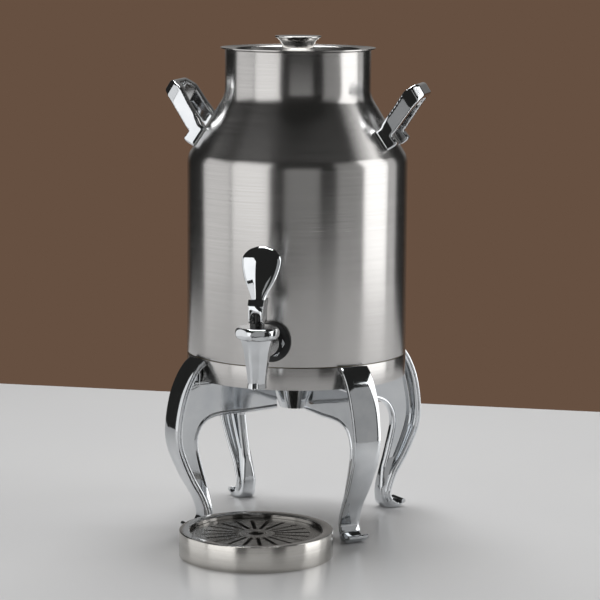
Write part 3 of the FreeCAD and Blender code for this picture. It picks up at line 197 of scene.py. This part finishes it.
# Moulded parts: near black or milky white, their highlights wide and faint; the wool is matt
rubber = moulded("matt_black_rubber", "#0C0C0D", "#181819", 0.46, 1.5, 0.10)
polymer = moulded("black_acetal", "#09090A", "#121213", 0.26, 1.2, 0.06)
silicone = moulded("white_silicone", "#C8C7C2", "#D8D7D2", 0.42, 2.0, 0.06, Subsurface_Weight=0.2)
wool = moulded("mineral_wool", "#8D8056", "#C6B78A", 0.90, 3.0, 0.8)

FINISH_OF = {
    "chrome_cast": chrome_cast,
    "brushed_stainless": brushed,
    "plain_stainless": satin,
    "polished_steel": polished,
    "zinc_fastener": zinc,
    "spring_steel": spring_wire,
    "black_rubber": rubber,
    "clear_silicone": silicone,
    "black_polymer": polymer,
    "insulation_wool": wool,
}
for row in frame["record"]["subparts"]:
    slots = nodes[row["node"]].data.materials
    slots.clear()
    slots.append(FINISH_OF[row["material_slot"]])
# The grid wears the tray steel whose base colour is painted darker, as painted shade
nodes["tray_grid"].data.materials[0] = grid_steel_painted_shade


# Shaping


def put(shape, name, body, material, stands_for=(), sharp=38):
    """Turn a bmesh in millimetres into a piece that rides on a body."""
    bmesh.ops.remove_doubles(shape, verts=shape.verts, dist=WELD)
    bmesh.ops.recalc_face_normals(shape, faces=shape.faces)
    bmesh.ops.scale(shape, vec=(0.001, 0.001, 0.001), verts=shape.verts)
    mesh = bpy.data.meshes.new(name)
    shape.to_mesh(mesh)
    shape.free()
    mesh.materials.append(material)
    mesh.shade_smooth()
    mesh.set_sharp_from_angle(angle=math.radians(sharp))
    piece = bpy.data.objects.new(name, mesh)
    bpy.context.scene.collection.objects.link(piece)
    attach(piece, body)
    if stands_for:
        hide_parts(*stands_for)
    return piece


def round_edges(shape, edges, offset, segments, clamp=False):
    bmesh.ops.bevel(shape, geom=edges, offset=offset, segments=segments, profile=0.5,
                    affect="EDGES", clamp_overlap=clamp, material=-1)


def lathe(profile, rounds=(), closed=True, steps=144, shape=None):
    """Spin (radius, height) points round Z, then round the rings listed in rounds, each as
    (point, offset, segments)."""
    shape = shape or bmesh.new()
    before = set(shape.verts)
    points = [shape.verts.new((r, 0, z)) for r, z in profile]
    pairs = list(zip(points, points[1:])) + ([(points[-1], points[0])] if closed else [])
    edges = [shape.edges.new(pair) for pair in pairs]
    bmesh.ops.spin(shape, geom=points + edges, cent=(0, 0, 0), axis=(0, 0, 1),
                   angle=2 * math.pi, steps=steps, use_merge=True)
    fresh = [v for v in shape.verts if v not in before]
    bmesh.ops.remove_doubles(shape, verts=fresh, dist=WELD)
    for index, offset, segments in rounds:
        radius, height = profile[index]
        ring = [
            e for e in shape.edges
            if all(abs(v.co.z - height) < 0.005 and abs(v.co.xy.length - radius) < 0.005
                   for v in e.verts)
        ]
        round_edges(shape, ring, offset, segments)
    return shape


def flow(points, steps=6):
    """A smooth line through points of any dimension (Catmull-Rom)."""
    path = []
    for i in range(len(points) - 1):
        p0 = points[max(i - 1, 0)]
        p1, p2 = points[i], points[i + 1]
        p3 = points[min(i + 2, len(points) - 1)]
        for k in range(steps):
            t = k / steps
            path.append(tuple(
                0.5 * (2 * b + (c - a) * t + (2 * a - 5 * b + 4 * c - d) * t * t
                       + (3 * b - a - 3 * c + d) * t ** 3)
                for a, b, c, d in zip(p0, p1, p2, p3)
            ))
    return path + [tuple(points[-1])]


def loft(loops, shape=None, caps=True):
    """Bridge closed loops of points, one after the other."""
    shape = shape or bmesh.new()
    rings = []
    for loop in loops:
        points = [shape.verts.new(p) for p in loop]
        rings.append([shape.edges.new(pair) for pair in zip(points, points[1:] + points[:1])])
    for one, two in zip(rings, rings[1:]):
        bmesh.ops.bridge_loops(shape, edges=one + two)
    if caps:
        for ring in (rings[0], rings[-1]):
            bmesh.ops.edgeloop_fill(shape, edges=ring)
    return shape


def bevel_sharp(shape, offset, segments, angle=25):
    """Round every edge that turns by more than the angle."""
    shape.normal_update()
    sharp = [e for e in shape.edges
             if len(e.link_faces) == 2 and e.calc_face_angle(0) > math.radians(angle)]
    round_edges(shape, sharp, offset, segments, clamp=True)


def pushed(shape, outline, along):
    """A flat outline pushed through along a direction, as a solid."""
    face = shape.faces.new([shape.verts.new(point) for point in outline])
    grown = bmesh.ops.extrude_face_region(shape, geom=[face])["geom"]
    bmesh.ops.translate(shape, vec=along,
                        verts=[v for v in grown if isinstance(v, bmesh.types.BMVert)])


# Drum

drum = lathe(
    [
        (DRUM_RADIUS - SHEET, RING_TOP + SEAM_GAP), (DRUM_RADIUS, RING_TOP + SEAM_GAP),
        (DRUM_RADIUS, SHOULDER_LOW), (NECK_RADIUS, SHOULDER_HIGH), (NECK_RADIUS, NECK_TOP),
        (NECK_RADIUS - SHEET, NECK_TOP), (NECK_RADIUS - SHEET, SHOULDER_HIGH - 0.3),
        (DRUM_RADIUS - SHEET, SHOULDER_LOW - 0.3),
    ],
    [(2, 6.2, 12), (3, 7.0, 12), (6, 7.0, 4), (7, 6.2, 4), (1, 0.4, 2), (4, 0.4, 2)],
    steps=192,
)
put(drum, "drum_skin", "urn", brushed, ("drum_wall", "drum_shoulder"))

band = lathe(
    [
        (DRUM_RADIUS - 1.2, DRUM_LOW), (DRUM_RADIUS, DRUM_LOW), (DRUM_RADIUS, RING_TOP - SEAM_GAP),
        (DRUM_RADIUS - 6, RING_TOP - SEAM_GAP), (DRUM_RADIUS - 6, RING_TOP - 1.5),
        (DRUM_RADIUS - 1.2, RING_TOP - 1.5),
    ],
    [(1, 0.4, 2), (2, 0.5, 3)],
    steps=192,
)
put(band, "base_band", "urn", brushed, ("base_ring",))


# Lid: a dished pan with a thin raised rim, and its turned knob

pan_floor = PAN_LOW + LID_SHEET
lid = lathe(
    [
        (0, pan_floor), (67.8, pan_floor), (72.8, NECK_TOP + 1.4), (84, NECK_TOP + 1.5),
        (89, NECK_TOP + 2.6), (89, NECK_TOP + 1.5), (84, NECK_TOP + 0.3), (74, NECK_TOP + 0.2),
        (69, PAN_LOW), (0, PAN_LOW),
    ],
    [(1, 2.4, 6), (2, 2.0, 6), (8, 2.0, 4)],
    closed=False,
)
put(lid, "lid_dish", "lid", brushed, ("lid_pan",))

waist = [(19.4, 0.0), (18.7, 2.5), (18.2, 7.0), (18.5, 12.0), (20.3, 16.5), (23.2, 19.8), (25.8, 21.5)]
crown = [(26.5, 21.9), (26.5, 23.1), (26.1, 23.4), (23.4, 23.3), (21.8, 23.0), (0, 23.0)]
knob = lathe([(0, 0)] + flow(waist, 5) + crown, closed=False, steps=96)
bmesh.ops.translate(knob, vec=(0, 0, pan_floor), verts=knob.verts)
put(knob, "lid_grip", "lid", polished, ("lid_knob",), sharp=50)


# Legs: a strap down the front, a thin web, beads round it and a scrolled toe

SWELL = 36.3
HUB_HIGH = 34.0
TONGUE_TOP = DRUM_LOW + 25.2
LEG_TURN = -2.76
# The leg's front, back and sole, as shares of the swell out from the drum and of its height
FRONT = [(0.096, TONGUE_TOP / DRUM_LOW), (0.317, 1.105), (0.565, 1.03), (0.785, 0.925),
         (0.931, 0.80), (1.0, 0.675), (0.953, 0.575), (0.785, 0.475), (0.482, 0.345),
         (0.165, 0.235), (0.006, 0.155), (-0.05, 0.10), (0.022, 0.065), (0.127, 0.042),
         (0.248, 0.031), (0.375, 0.034), (0.485, 0.049)]
BACK = [(-0.365, 0.048), (-0.385, 0.13), (-0.305, 0.25), (-0.175, 0.345), (-0.005, 0.475),
        (0.094, 0.575), (0.044, 0.655), (-0.152, 0.717), (-0.468, 0.748), (-0.937, 0.758),
        (-1.653, 0.757)]
SOLE = [(0.485, 0.049), (0.397, 0.020), (0.259, 0.001), (0.083, 0.0), (-0.09, 0.001), (-0.25, 0.014),
        (-0.365, 0.048)]


def leg_line(shares, steps=6):
    return flow([(DRUM_RADIUS + SWELL * reach, DRUM_LOW * share) for reach, share in shares], steps)


def strap_half(height):
    """Half the strap's width at a height: 17.5 at the drum, 12.25 at the foot."""
    table = [(0, 12.25), (44, 12.25), (88, 15.4), (158, 17.5), (300, 17.5)]
    for (h0, w0), (h1, w1) in zip(table, table[1:]):
        if height <= h1:
            return w0 + (w1 - w0) * (height - h0) / (h1 - h0)
    return table[-1][1]


def inwards(line):
    """Each point of a line in the leg's plane, with the direction into the casting."""
    for i, (x, z) in enumerate(line):
        x0, z0 = line[max(i - 1, 0)]
        x1, z1 = line[min(i + 1, len(line) - 1)]
        length = math.hypot(x1 - x0, z1 - z0)
        yield x, z, (z1 - z0) / length, -(x1 - x0) / length


def eased(value, low, high):
    """A smooth step from 0 to 1 between two limits."""
    share = min(max((value - low) / (high - low), 0.0), 1.0)
    return share * share * (3 - 2 * share)


def evenly(line, count):
    """Points at even steps along a line."""
    reach = [0.0]
    for (x0, z0), (x1, z1) in zip(line, line[1:]):
        reach.append(reach[-1] + math.hypot(x1 - x0, z1 - z0))
    points = []
    for i in range(count):
        want = reach[-1] * i / (count - 1)
        k = max(1, next((j for j, r in enumerate(reach) if r >= want - 1e-9), len(reach) - 1))
        share = (want - reach[k - 1]) / max(reach[k] - reach[k - 1], 1e-9)
        points.append(tuple(a + (b - a) * share for a, b in zip(line[k - 1], line[k])))
    return points


def moved_in(line, depth):
    return [(x + nx * depth, z + nz * depth) for x, z, nx, nz in inwards(line)]


def strap_section(half):
    """Across the strap: a flat face, a crisp edge, a side with two fine beads, then the web."""
    side = [(half * 0.5, -0.05), (half - 1.0, 0.02), (half - 0.3, 0.25), (half, 0.9),
            (half, 2.6), (half - 0.25, 3.0), (half - 1.1, 3.5), (half - 1.2, 4.2),
            (half - 0.4, 4.8), (half - 0.3, 5.6), (half - 0.7, 6.4), (half - 2.4, 7.3),
            (half - 5.4, 7.6), (6.0, 7.8), (4.4, 8.6), (3.9, 9.6)]
    return side + [(-y, depth) for y, depth in reversed(side)]


def slab(shape, outline, half):
    """A flat plate in the leg's plane, as thick as twice half."""
    pushed(shape, [(x, -half, z) for x, z in outline], (0, half * 2, 0))


# The round bead that edges the web, as (across, depth) points
BEAD = [(5.2, 2.2), (4.7, 0.9), (3.4, 0.15), (1.6, 0.0), (-1.6, 0.0), (-3.4, 0.15), (-4.7, 0.9),
        (-5.2, 2.2), (-5.0, 3.6), (-4.0, 5.0), (4.0, 5.0), (5.0, 3.6)]


def strap(shape):
    """The flat front face, from the tongue down over the ankle."""
    loft([[(x + nx * depth, y, z + nz * depth) for y, depth in strap_section(strap_half(z))]
          for x, z, nx, nz in inwards(leg_line(FRONT[:13], 8))], shape)


def web(shape):
    """The plate between strap, arch and drum, and the thinner floor of the pocket behind the
    tongue."""
    front = [(x, z) for x, z in moved_in(leg_line(FRONT[:12]), 6.5) if z < DRUM_LOW - 2]
    back = moved_in(leg_line(BACK), 2.5)
    at_hub = [(HUB_HIGH * 0.8, 137.0), (HUB_HIGH * 0.95, DRUM_LOW - 2.5)]
    slab(shape, front + back + at_hub, 4.0)
    pocket_low = DRUM_LOW - 10
    pocket = [(x, z) for x, z in moved_in(leg_line(FRONT[:8]), 6.0) if z > pocket_low]
    slab(shape, pocket + [(DRUM_RADIUS + 14, pocket_low), (DRUM_RADIUS + 0.8, pocket_low)], 1.8)


def beads(shape):
    """Round beads along the arch, under the drum, out to the strap and up behind the tongue."""
    arch = leg_line(BACK, 8) + [(HUB_HIGH * 0.82, 134.6)]
    loft([[(x + nx * depth, y, z + nz * depth) for y, depth in BEAD]
          for x, z, nx, nz in inwards(arch)], shape)
    loft([[(x, y, DRUM_LOW - 0.1 - depth) for y, depth in BEAD]
          for x in (HUB_HIGH * 0.8, DRUM_RADIUS + 8)], shape)
    out = [(DRUM_RADIUS + 2, DRUM_LOW - 4.5), (DRUM_RADIUS + 19.5, DRUM_LOW - 10.5)]
    loft([[(x, y, z + 2.5 - depth) for y, depth in BEAD] for x, z in out], shape)
    behind = [(DRUM_LOW - 4, 1.0), (TONGUE_TOP - 8, 1.3), (TONGUE_TOP - 2, 2.2)]
    loft([[(DRUM_RADIUS + 0.9 + depth * 0.55, y * wide, z) for y, depth in BEAD]
          for z, wide in behind], shape)


def foot(shape):
    """It swells from the web behind the strap and runs out to the rolled toe at full width."""
    count = 44
    upper = evenly(leg_line(FRONT[7:]), count)[:-1]
    under = evenly(leg_line(BACK[:5])[::-1] + leg_line(SOLE)[-2::-1], count)[:-1]
    loops = []
    for i, ((x0, z0), (x1, z1)) in enumerate(zip(upper, under)):
        half = 3.4 + 5.4 * eased(i / count, 0.12, 0.58) + 3.4 * eased(i / count, 0.62, 0.84)
        depth = math.hypot(x1 - x0, z1 - z0)
        sink = 4.0 * (1 - eased(i / count, 0.66, 0.84)) / depth
        corner = min(3.0, depth * 0.3)
        cut = corner / depth
        edge = [(half - corner * 0.4, sink), (half, sink + cut * 0.5), (half, 1 - cut),
                (half - corner * 0.12, 1 - cut * 0.5), (half - corner * 0.5, 1 - cut * 0.12),
                (half - corner, 1.0)]
        loops.append([(x0 + (x1 - x0) * at, y, max(z0 + (z1 - z0) * at, 0.0))
                      for y, at in edge + [(-y, at) for y, at in reversed(edge)]])
    loft(loops, shape)
    lip = (DRUM_RADIUS + SWELL * 0.43, DRUM_LOW * 0.043)
    rolled = [(lip[0] + 2.7 * math.cos(math.radians(a)), lip[1] + 2.7 * math.sin(math.radians(a)))
              for a in range(0, 360, 24)]
    slab(shape, rolled, 12.2)


for name, angle in (("leg_front_right", 45), ("leg_back_right", 135),
                    ("leg_back_left", 225), ("leg_front_left", 315)):
    leg = bmesh.new()
    for part in (strap, web, beads, foot):
        part(leg)
    bmesh.ops.rotate(leg, cent=(0, 0, 0), verts=leg.verts,
                     matrix=Matrix.Rotation(math.radians(angle + LEG_TURN - 90), 3, "Z"))
    put(leg, name + "_cast", "urn", chrome_cast, (name,), sharp=35)


# Handles: the casting's own form with every edge worn round, as plating leaves it

def worn_round(node, grain=0.9, passes=9):
    """A copy of a handle's solid, drawn again in even small faces and smoothed until its edges
    are round."""
    shape = bmesh.new()
    shape.from_mesh(nodes[node].data)
    bmesh.ops.remove_doubles(shape, verts=shape.verts, dist=0.000004)
    bmesh.ops.recalc_face_normals(shape, faces=shape.faces)
    rough = bpy.data.meshes.new(node + "_rough")
    shape.to_mesh(rough)
    shape.free()
    model = bpy.data.objects.new(node + "_rough", rough)
    bpy.context.scene.collection.objects.link(model)
    remesh = model.modifiers.new("even_faces", "REMESH")
    remesh.mode = "VOXEL"
    remesh.voxel_size = grain / 1000
    even = bpy.data.meshes.new_from_object(model.evaluated_get(bpy.context.evaluated_depsgraph_get()))
    bpy.data.objects.remove(model)
    shape = bmesh.new()
    shape.from_mesh(even)
    for _ in range(passes):
        bmesh.ops.smooth_vert(shape, verts=shape.verts, factor=0.5,
                              use_axis_x=True, use_axis_y=True, use_axis_z=True)
    bmesh.ops.scale(shape, vec=(1000, 1000, 1000), verts=shape.verts)
    put(shape, node + "_cast", "urn", chrome_cast, (node,), sharp=180)


worn_round("handle_right")
worn_round("handle_left")


# Tap: fluted spout on a tapering shank, bonnet with oval flats, fork and paddle

AXIS = (0.0, -TAP_REACH)
SPOUT_LOW = 190.0
SPOUT_TOP = 244.3
BONNET_TOP = 259.0
BONNET_FLAT = 22.0
BONNET_TURN = 22.0
NICK_TURN = 276


def fluted(radius, height, flat=0.93, notch=0.0):
    """A ring of points with eight flats, or round where flat is 1, and a nick in its front."""
    ring = []
    for k in range(64):
        turn = 2 * math.pi * k / 64
        off = (turn + math.pi / 8) % (math.pi / 4) - math.pi / 8
        reach = radius * min(1.0, flat / math.cos(off)) * (1.0 if flat == 1 else 1.045)
        front = abs((turn - math.radians(NICK_TURN) + math.pi) % (2 * math.pi) - math.pi)
        if notch and front < notch:
            reach -= 1.5
        ring.append((AXIS[0] + reach * math.cos(turn), AXIS[1] + reach * math.sin(turn), height))
    return ring


def tap_casting():
    """The spout, and the shank and hexagon collar that lie along the tap's own axis."""
    outside = flow([(10.3, SPOUT_LOW + 0.5), (9.9, 197.0), (11.4, 211.0), (12.6, 219.0),
                    (14.0, 230.0), (16.3, 240.0), (17.8, SPOUT_TOP)], 4)
    loops = [fluted(6.5, 204, 1), fluted(6.5, SPOUT_LOW + 0.4, 1), fluted(6.9, SPOUT_LOW, 1),
             fluted(9.8, SPOUT_LOW, 1, notch=0.2)]
    for radius, height in outside:
        loops.append(fluted(radius, height, notch=0.2 if height < 199 else 0.0))
    shape = loft(loops + [fluted(14.0, SPOUT_TOP + 0.3, 1)])

    shank = bmesh.new()
    lathe([(0, 100), (9, 100), (9, 131), (15.5, 131.2), (14.4, 144), (12.2, 170), (9.9, 195), (0, 195)],
          [(3, 0.5, 2)], closed=False, steps=64, shape=shank)
    corner = 15.0 / math.cos(math.pi / 6)
    turns = [math.pi * k / 3 for k in range(6)]
    collar = bmesh.new()
    loft([[(corner * math.cos(a), corner * math.sin(a), z) for a in turns]
          for z in (131.0, 136.0)], collar)
    bevel_sharp(collar, 0.5, 2)
    for part in (shank, collar):
        bmesh.ops.rotate(part, cent=(0, 0, 0), matrix=Matrix.Rotation(math.pi / 2, 3, "X"),
                         verts=part.verts)
        bmesh.ops.translate(part, vec=(0, 0, TAP_HEIGHT), verts=part.verts)
        spare = bpy.data.meshes.new("tap_part")
        part.to_mesh(spare)
        part.free()
        shape.from_mesh(spare)
        bpy.data.meshes.remove(spare)
    put(shape, "tap_casting", "urn", chrome, ("tap_body",), sharp=22)


def bonnet():
    """A domed cap with six upright cuts, which leave oval flats."""
    rim = [(0, SPOUT_TOP), (17.9, SPOUT_TOP)]
    rim += flow([(18.2, SPOUT_TOP + 0.2), (21.6, SPOUT_TOP + 1.3), (23.5, SPOUT_TOP + 3.6),
                 (24.3, 251.2), (23.8, 254.2), (22.2, 256.6), (19.0, 258.0), (9.5, 258.7)])
    rim += [(8.0, BONNET_TOP), (0, BONNET_TOP)]
    shape = lathe(rim, closed=False, steps=120)
    for k in range(6):
        turn = math.radians(BONNET_TURN - 90 + 60 * k)
        side = Vector((math.cos(turn), math.sin(turn), 0))
        cut = bmesh.ops.bisect_plane(shape, geom=shape.verts[:] + shape.edges[:] + shape.faces[:],
                                     plane_co=side * BONNET_FLAT, plane_no=side, clear_outer=True)
        ring = [e for e in cut["geom_cut"] if isinstance(e, bmesh.types.BMEdge)]
        bmesh.ops.edgeloop_fill(shape, edges=ring)
        round_edges(shape, ring, 0.45, 2)
    bmesh.ops.translate(shape, vec=(*AXIS, 0), verts=shape.verts)
    put(shape, "bonnet_cap", "urn", chrome, ("tap_bonnet",), sharp=28)


def lever():
    """The arched fork, a stepped collar that leans back, and the paddle that grows from it."""
    fork_low, fork_top, arch = 262.4, 281.5, 269.2
    half, slot, front, back = 7.8, 5.7, -204.0, -181.0
    shape = bmesh.new()

    # The fork: one outline seen from the front, pushed through to the back
    curve = [(slot * math.cos(math.radians(a)), arch + slot * math.sin(math.radians(a)))
             for a in range(0, 181, 12)]
    outline = [(half, fork_low), (half, fork_top), (-half, fork_top), (-half, fork_low),
               (-slot, fork_low)] + curve[::-1] + [(slot, fork_low)]
    pushed(shape, [(x, front, z) for x, z in outline], (0, back - front, 0))
    toes = [e for e in shape.edges
            if all(abs(v.co.y - front) < 0.01 and abs(v.co.z - fork_low) < 0.01 for v in e.verts)]
    round_edges(shape, toes, 3.0, 4)

    steps = ((8.3, fork_top - 3.5, fork_top + 0.5, 0.0), (8.8, fork_top + 0.5, 288.0, 0.8))
    for wide, low, high, reach in steps:
        profile = [(front - reach, low), (back + reach, low), (back + reach, high),
                   (front + 3.4, high), (front + 0.9 - reach, low + 0.8)]
        pushed(shape, [(-wide, y, z) for y, z in profile], (wide * 2, 0, 0))
    bevel_sharp(shape, 0.45, 2, 40)

    # The paddle: a flat facet down its left front, a broad one beside it, a round back and a
    # round top
    lean = math.radians(19.0)
    rise = Vector((0, math.sin(lean), math.cos(lean)))
    thick = Vector((0, math.cos(lean), -math.sin(lean)))
    heel = Vector((0, -TAP_REACH + 2, fork_top)) + rise * 3.9
    long, wide, deep = 60.5, 21.6, 6.5
    front_line = [(-1.0, 0.0), (-0.97, -0.20), (-0.93, -0.28), (-0.86, -0.36), (-0.41, -0.88),
                  (-0.35, -0.95), (-0.32, -0.98), (-0.28, -1.0), (-0.20, -1.0), (0.36, -0.95),
                  (0.62, -0.80), (0.82, -0.53), (0.95, -0.24), (1.0, 0.0)]
    back_line = [(math.cos(math.radians(a)), math.sin(math.radians(a))) for a in range(15, 180, 15)]
    # Its width and thickness along its length, as shares of the most that each reaches
    shares = [(-0.03, 0.32, 0.78), (0.12, 0.44, 0.84), (0.25, 0.61, 0.90), (0.40, 0.79, 0.97),
              (0.55, 0.92, 1.0), (0.68, 0.99, 1.0), (0.78, 1.0, 0.95), (0.87, 0.88, 0.80),
              (0.95, 0.64, 0.54), (1.0, 0.30, 0.26)]
    loops = []
    for at, wide_share, thick_share in flow(shares, 5):
        centre = heel + rise * (long * at)
        loops.append([centre + Vector((wide * wide_share * x, 0, 0)) + thick * (deep * thick_share * y)
                      for x, y in front_line + back_line])
    loft(loops, shape)
    put(shape, "lever_paddle", "lever", chrome, ("tap_lever",), sharp=24)


tap_casting()
bonnet()
lever()


# Drip tray: a folded skirt, and its turned rim, which dips towards the grid

def turned_on_tray(profile, rounds, name, material, stands_for=()):
    shape = lathe(profile, rounds, steps=160)
    bmesh.ops.translate(shape, vec=(*TRAY_CENTRE, 0), verts=shape.verts)
    return put(shape, name, "tray", material, stands_for, sharp=30)


# The skirt wears the tray steel whose base colour is painted lighter, as painted light
wall = turned_on_tray([(84.0, 0.0), (85.1, 0.0), (85.1, 28.3), (84.3, 28.3), (84.0, 27.6)],
                      [(1, 0.4, 2), (2, 0.3, 2)], "tray_wall", tray_steel_painted_light)
turned_on_tray([(84.2, 28.9), (74.2, 28.1), (73.5, 27.2), (73.3, 23.9), (74.1, 23.9),
                (74.4, 26.9), (84.2, 27.8), (84.6, 28.2)],
               [(0, 0.3, 2), (1, 0.5, 3)], "tray_rim", rim_turned, ("tray_skirt",))


# Stage, lights and camera

def plate(name, corners, material):
    shape = bmesh.new()
    shape.faces.new([shape.verts.new(c) for c in corners])
    mesh = bpy.data.meshes.new(name)
    shape.to_mesh(mesh)
    shape.free()
    mesh.materials.append(material)
    piece = bpy.data.objects.new(name, mesh)
    bpy.context.scene.collection.objects.link(piece)


def around(angle, distance, height):
    """A point at an angle to the right of the camera's line, seen from the drum."""
    turn = math.radians(CAMERA_TURN + angle)
    return Vector((math.sin(turn) * distance, -math.cos(turn) * distance, height))


def counter_paint():
    """A pale lacquered board: even in colour, and glossy enough to mirror the feet faintly."""
    material, tree, shader, place = finish("pale_lacquered_counter", Roughness=0.20)
    mottle = add(tree, "ShaderNodeTexNoise", {"Scale": 3.0, "Detail": 1.0}, {"Vector": place})
    tone = add(tree, "ShaderNodeMix",
               {"data_type": "RGBA", "A": colour("#E1E1E2"), "B": colour("#E6E6E6")},
               {"Factor": mottle.outputs["Fac"]})
    tree.links.new(tone.outputs["Result"], shader.inputs["Base Color"])
    return material


# The counter, in metres: its far edge runs along the urn's own left and right, as in the picture
COUNTER_SIDE, COUNTER_FRONT, COUNTER_BACK = 1.0, -0.95, 0.742
plate("counter", [(-COUNTER_SIDE, COUNTER_FRONT, 0), (COUNTER_SIDE, COUNTER_FRONT, 0),
                  (COUNTER_SIDE, COUNTER_BACK, 0), (-COUNTER_SIDE, COUNTER_BACK, 0)], counter_paint())


def softbox(name, angle, distance, height, width, tall, radiance):
    """A lamp that faces the urn's middle. A mirror shows it white at a radiance of 1."""
    lamp = bpy.data.lights.new(name, "AREA")
    lamp.shape = "RECTANGLE"
    lamp.size = width
    lamp.size_y = tall
    lamp.energy = math.pi * radiance * width * tall
    box = bpy.data.objects.new(name, lamp)
    bpy.context.scene.collection.objects.link(box)
    box.location = around(angle, distance, height)
    towards = Vector((0, 0, 0.30)) - box.location
    box.rotation_euler = towards.to_track_quat("-Z", "Y").to_euler()


# The drum shows each box at half its angle, so the boxes' edges set the edges of its bands
softbox("key_right", 88, 1.7, 0.50, 1.06, 2.2, 2.2)
softbox("cool_strip", 54, 2.0, 0.50, 0.98, 2.1, 0.36)
softbox("fill_middle", 5, 3.1, 0.30, 2.0, 1.5, 0.32)
softbox("front_left", -49, 2.2, 0.50, 1.70, 2.35, 1.40)
softbox("side_left", -91, 1.8, 0.28, 1.28, 1.9, 0.98)
softbox("edge_right", 114, 1.5, 0.35, 0.36, 1.3, 0.75)
softbox("overhead", 180, 0.9, 2.60, 1.5, 1.5, 8.5)


def room(wall, bounce, shade):
    """A dim room: its wall behind the urn, light from above it, and shade everywhere else."""
    world = bpy.data.worlds.new("studio")
    world.use_nodes = True
    tree = world.node_tree
    place = add(tree, "ShaderNodeTexCoord")
    facing = add(tree, "ShaderNodeVectorMath", {"operation": "DOT_PRODUCT", 1: around(180, 1.0, -0.08)},
                 {0: place.outputs["Generated"]})
    near = add(tree, "ShaderNodeMapRange", {"From Min": 0.86, "From Max": 0.965},
               {"Value": facing.outputs["Value"]})
    parts = add(tree, "ShaderNodeSeparateXYZ", links={0: place.outputs["Generated"]})
    above = add(tree, "ShaderNodeMapRange", {"From Min": -0.01, "From Max": 0.03},
                {"Value": parts.outputs["Z"]})
    back = add(tree, "ShaderNodeMix", {"data_type": "RGBA", "A": colour(wall), "B": colour(bounce)},
               {"Factor": above.outputs["Result"]})
    tone = add(tree, "ShaderNodeMix", {"data_type": "RGBA", "A": colour(shade)},
               {"Factor": near.outputs["Result"], "B": back.outputs["Result"]})
    tree.links.new(tone.outputs["Result"], tree.nodes["Background"].inputs["Color"])
    return world


bpy.context.scene.world = room("#665041", "#8E8C8A", "#292928")

# The camera as the photograph's own perspective gives it: its focal length in pixels of 600,
# its place in metres before the turn round the urn, and its tilt and roll in degrees
FOCAL = 2445.95
PLACE = (0.00393, -2.8105, 0.6762)
TILT = 8.438
ROLL = 0.353
lens = bpy.data.cameras.new("camera")
lens.lens = FOCAL / 600 * 36
lens.sensor_width = 36
lens.clip_end = 50
camera = bpy.data.objects.new("camera", lens)
bpy.context.scene.collection.objects.link(camera)
turn = math.radians(CAMERA_TURN)
camera.matrix_world = (
    Matrix.Translation(Matrix.Rotation(turn, 3, "Z") @ Vector(PLACE))
    @ Matrix.Rotation(turn, 4, "Z")
    @ Matrix.Rotation(math.radians(90 - TILT), 4, "X")
    @ Matrix.Rotation(math.radians(ROLL), 4, "Z")
)
bpy.context.scene.camera = camera
bpy.context.scene.view_settings.view_transform = "Standard"
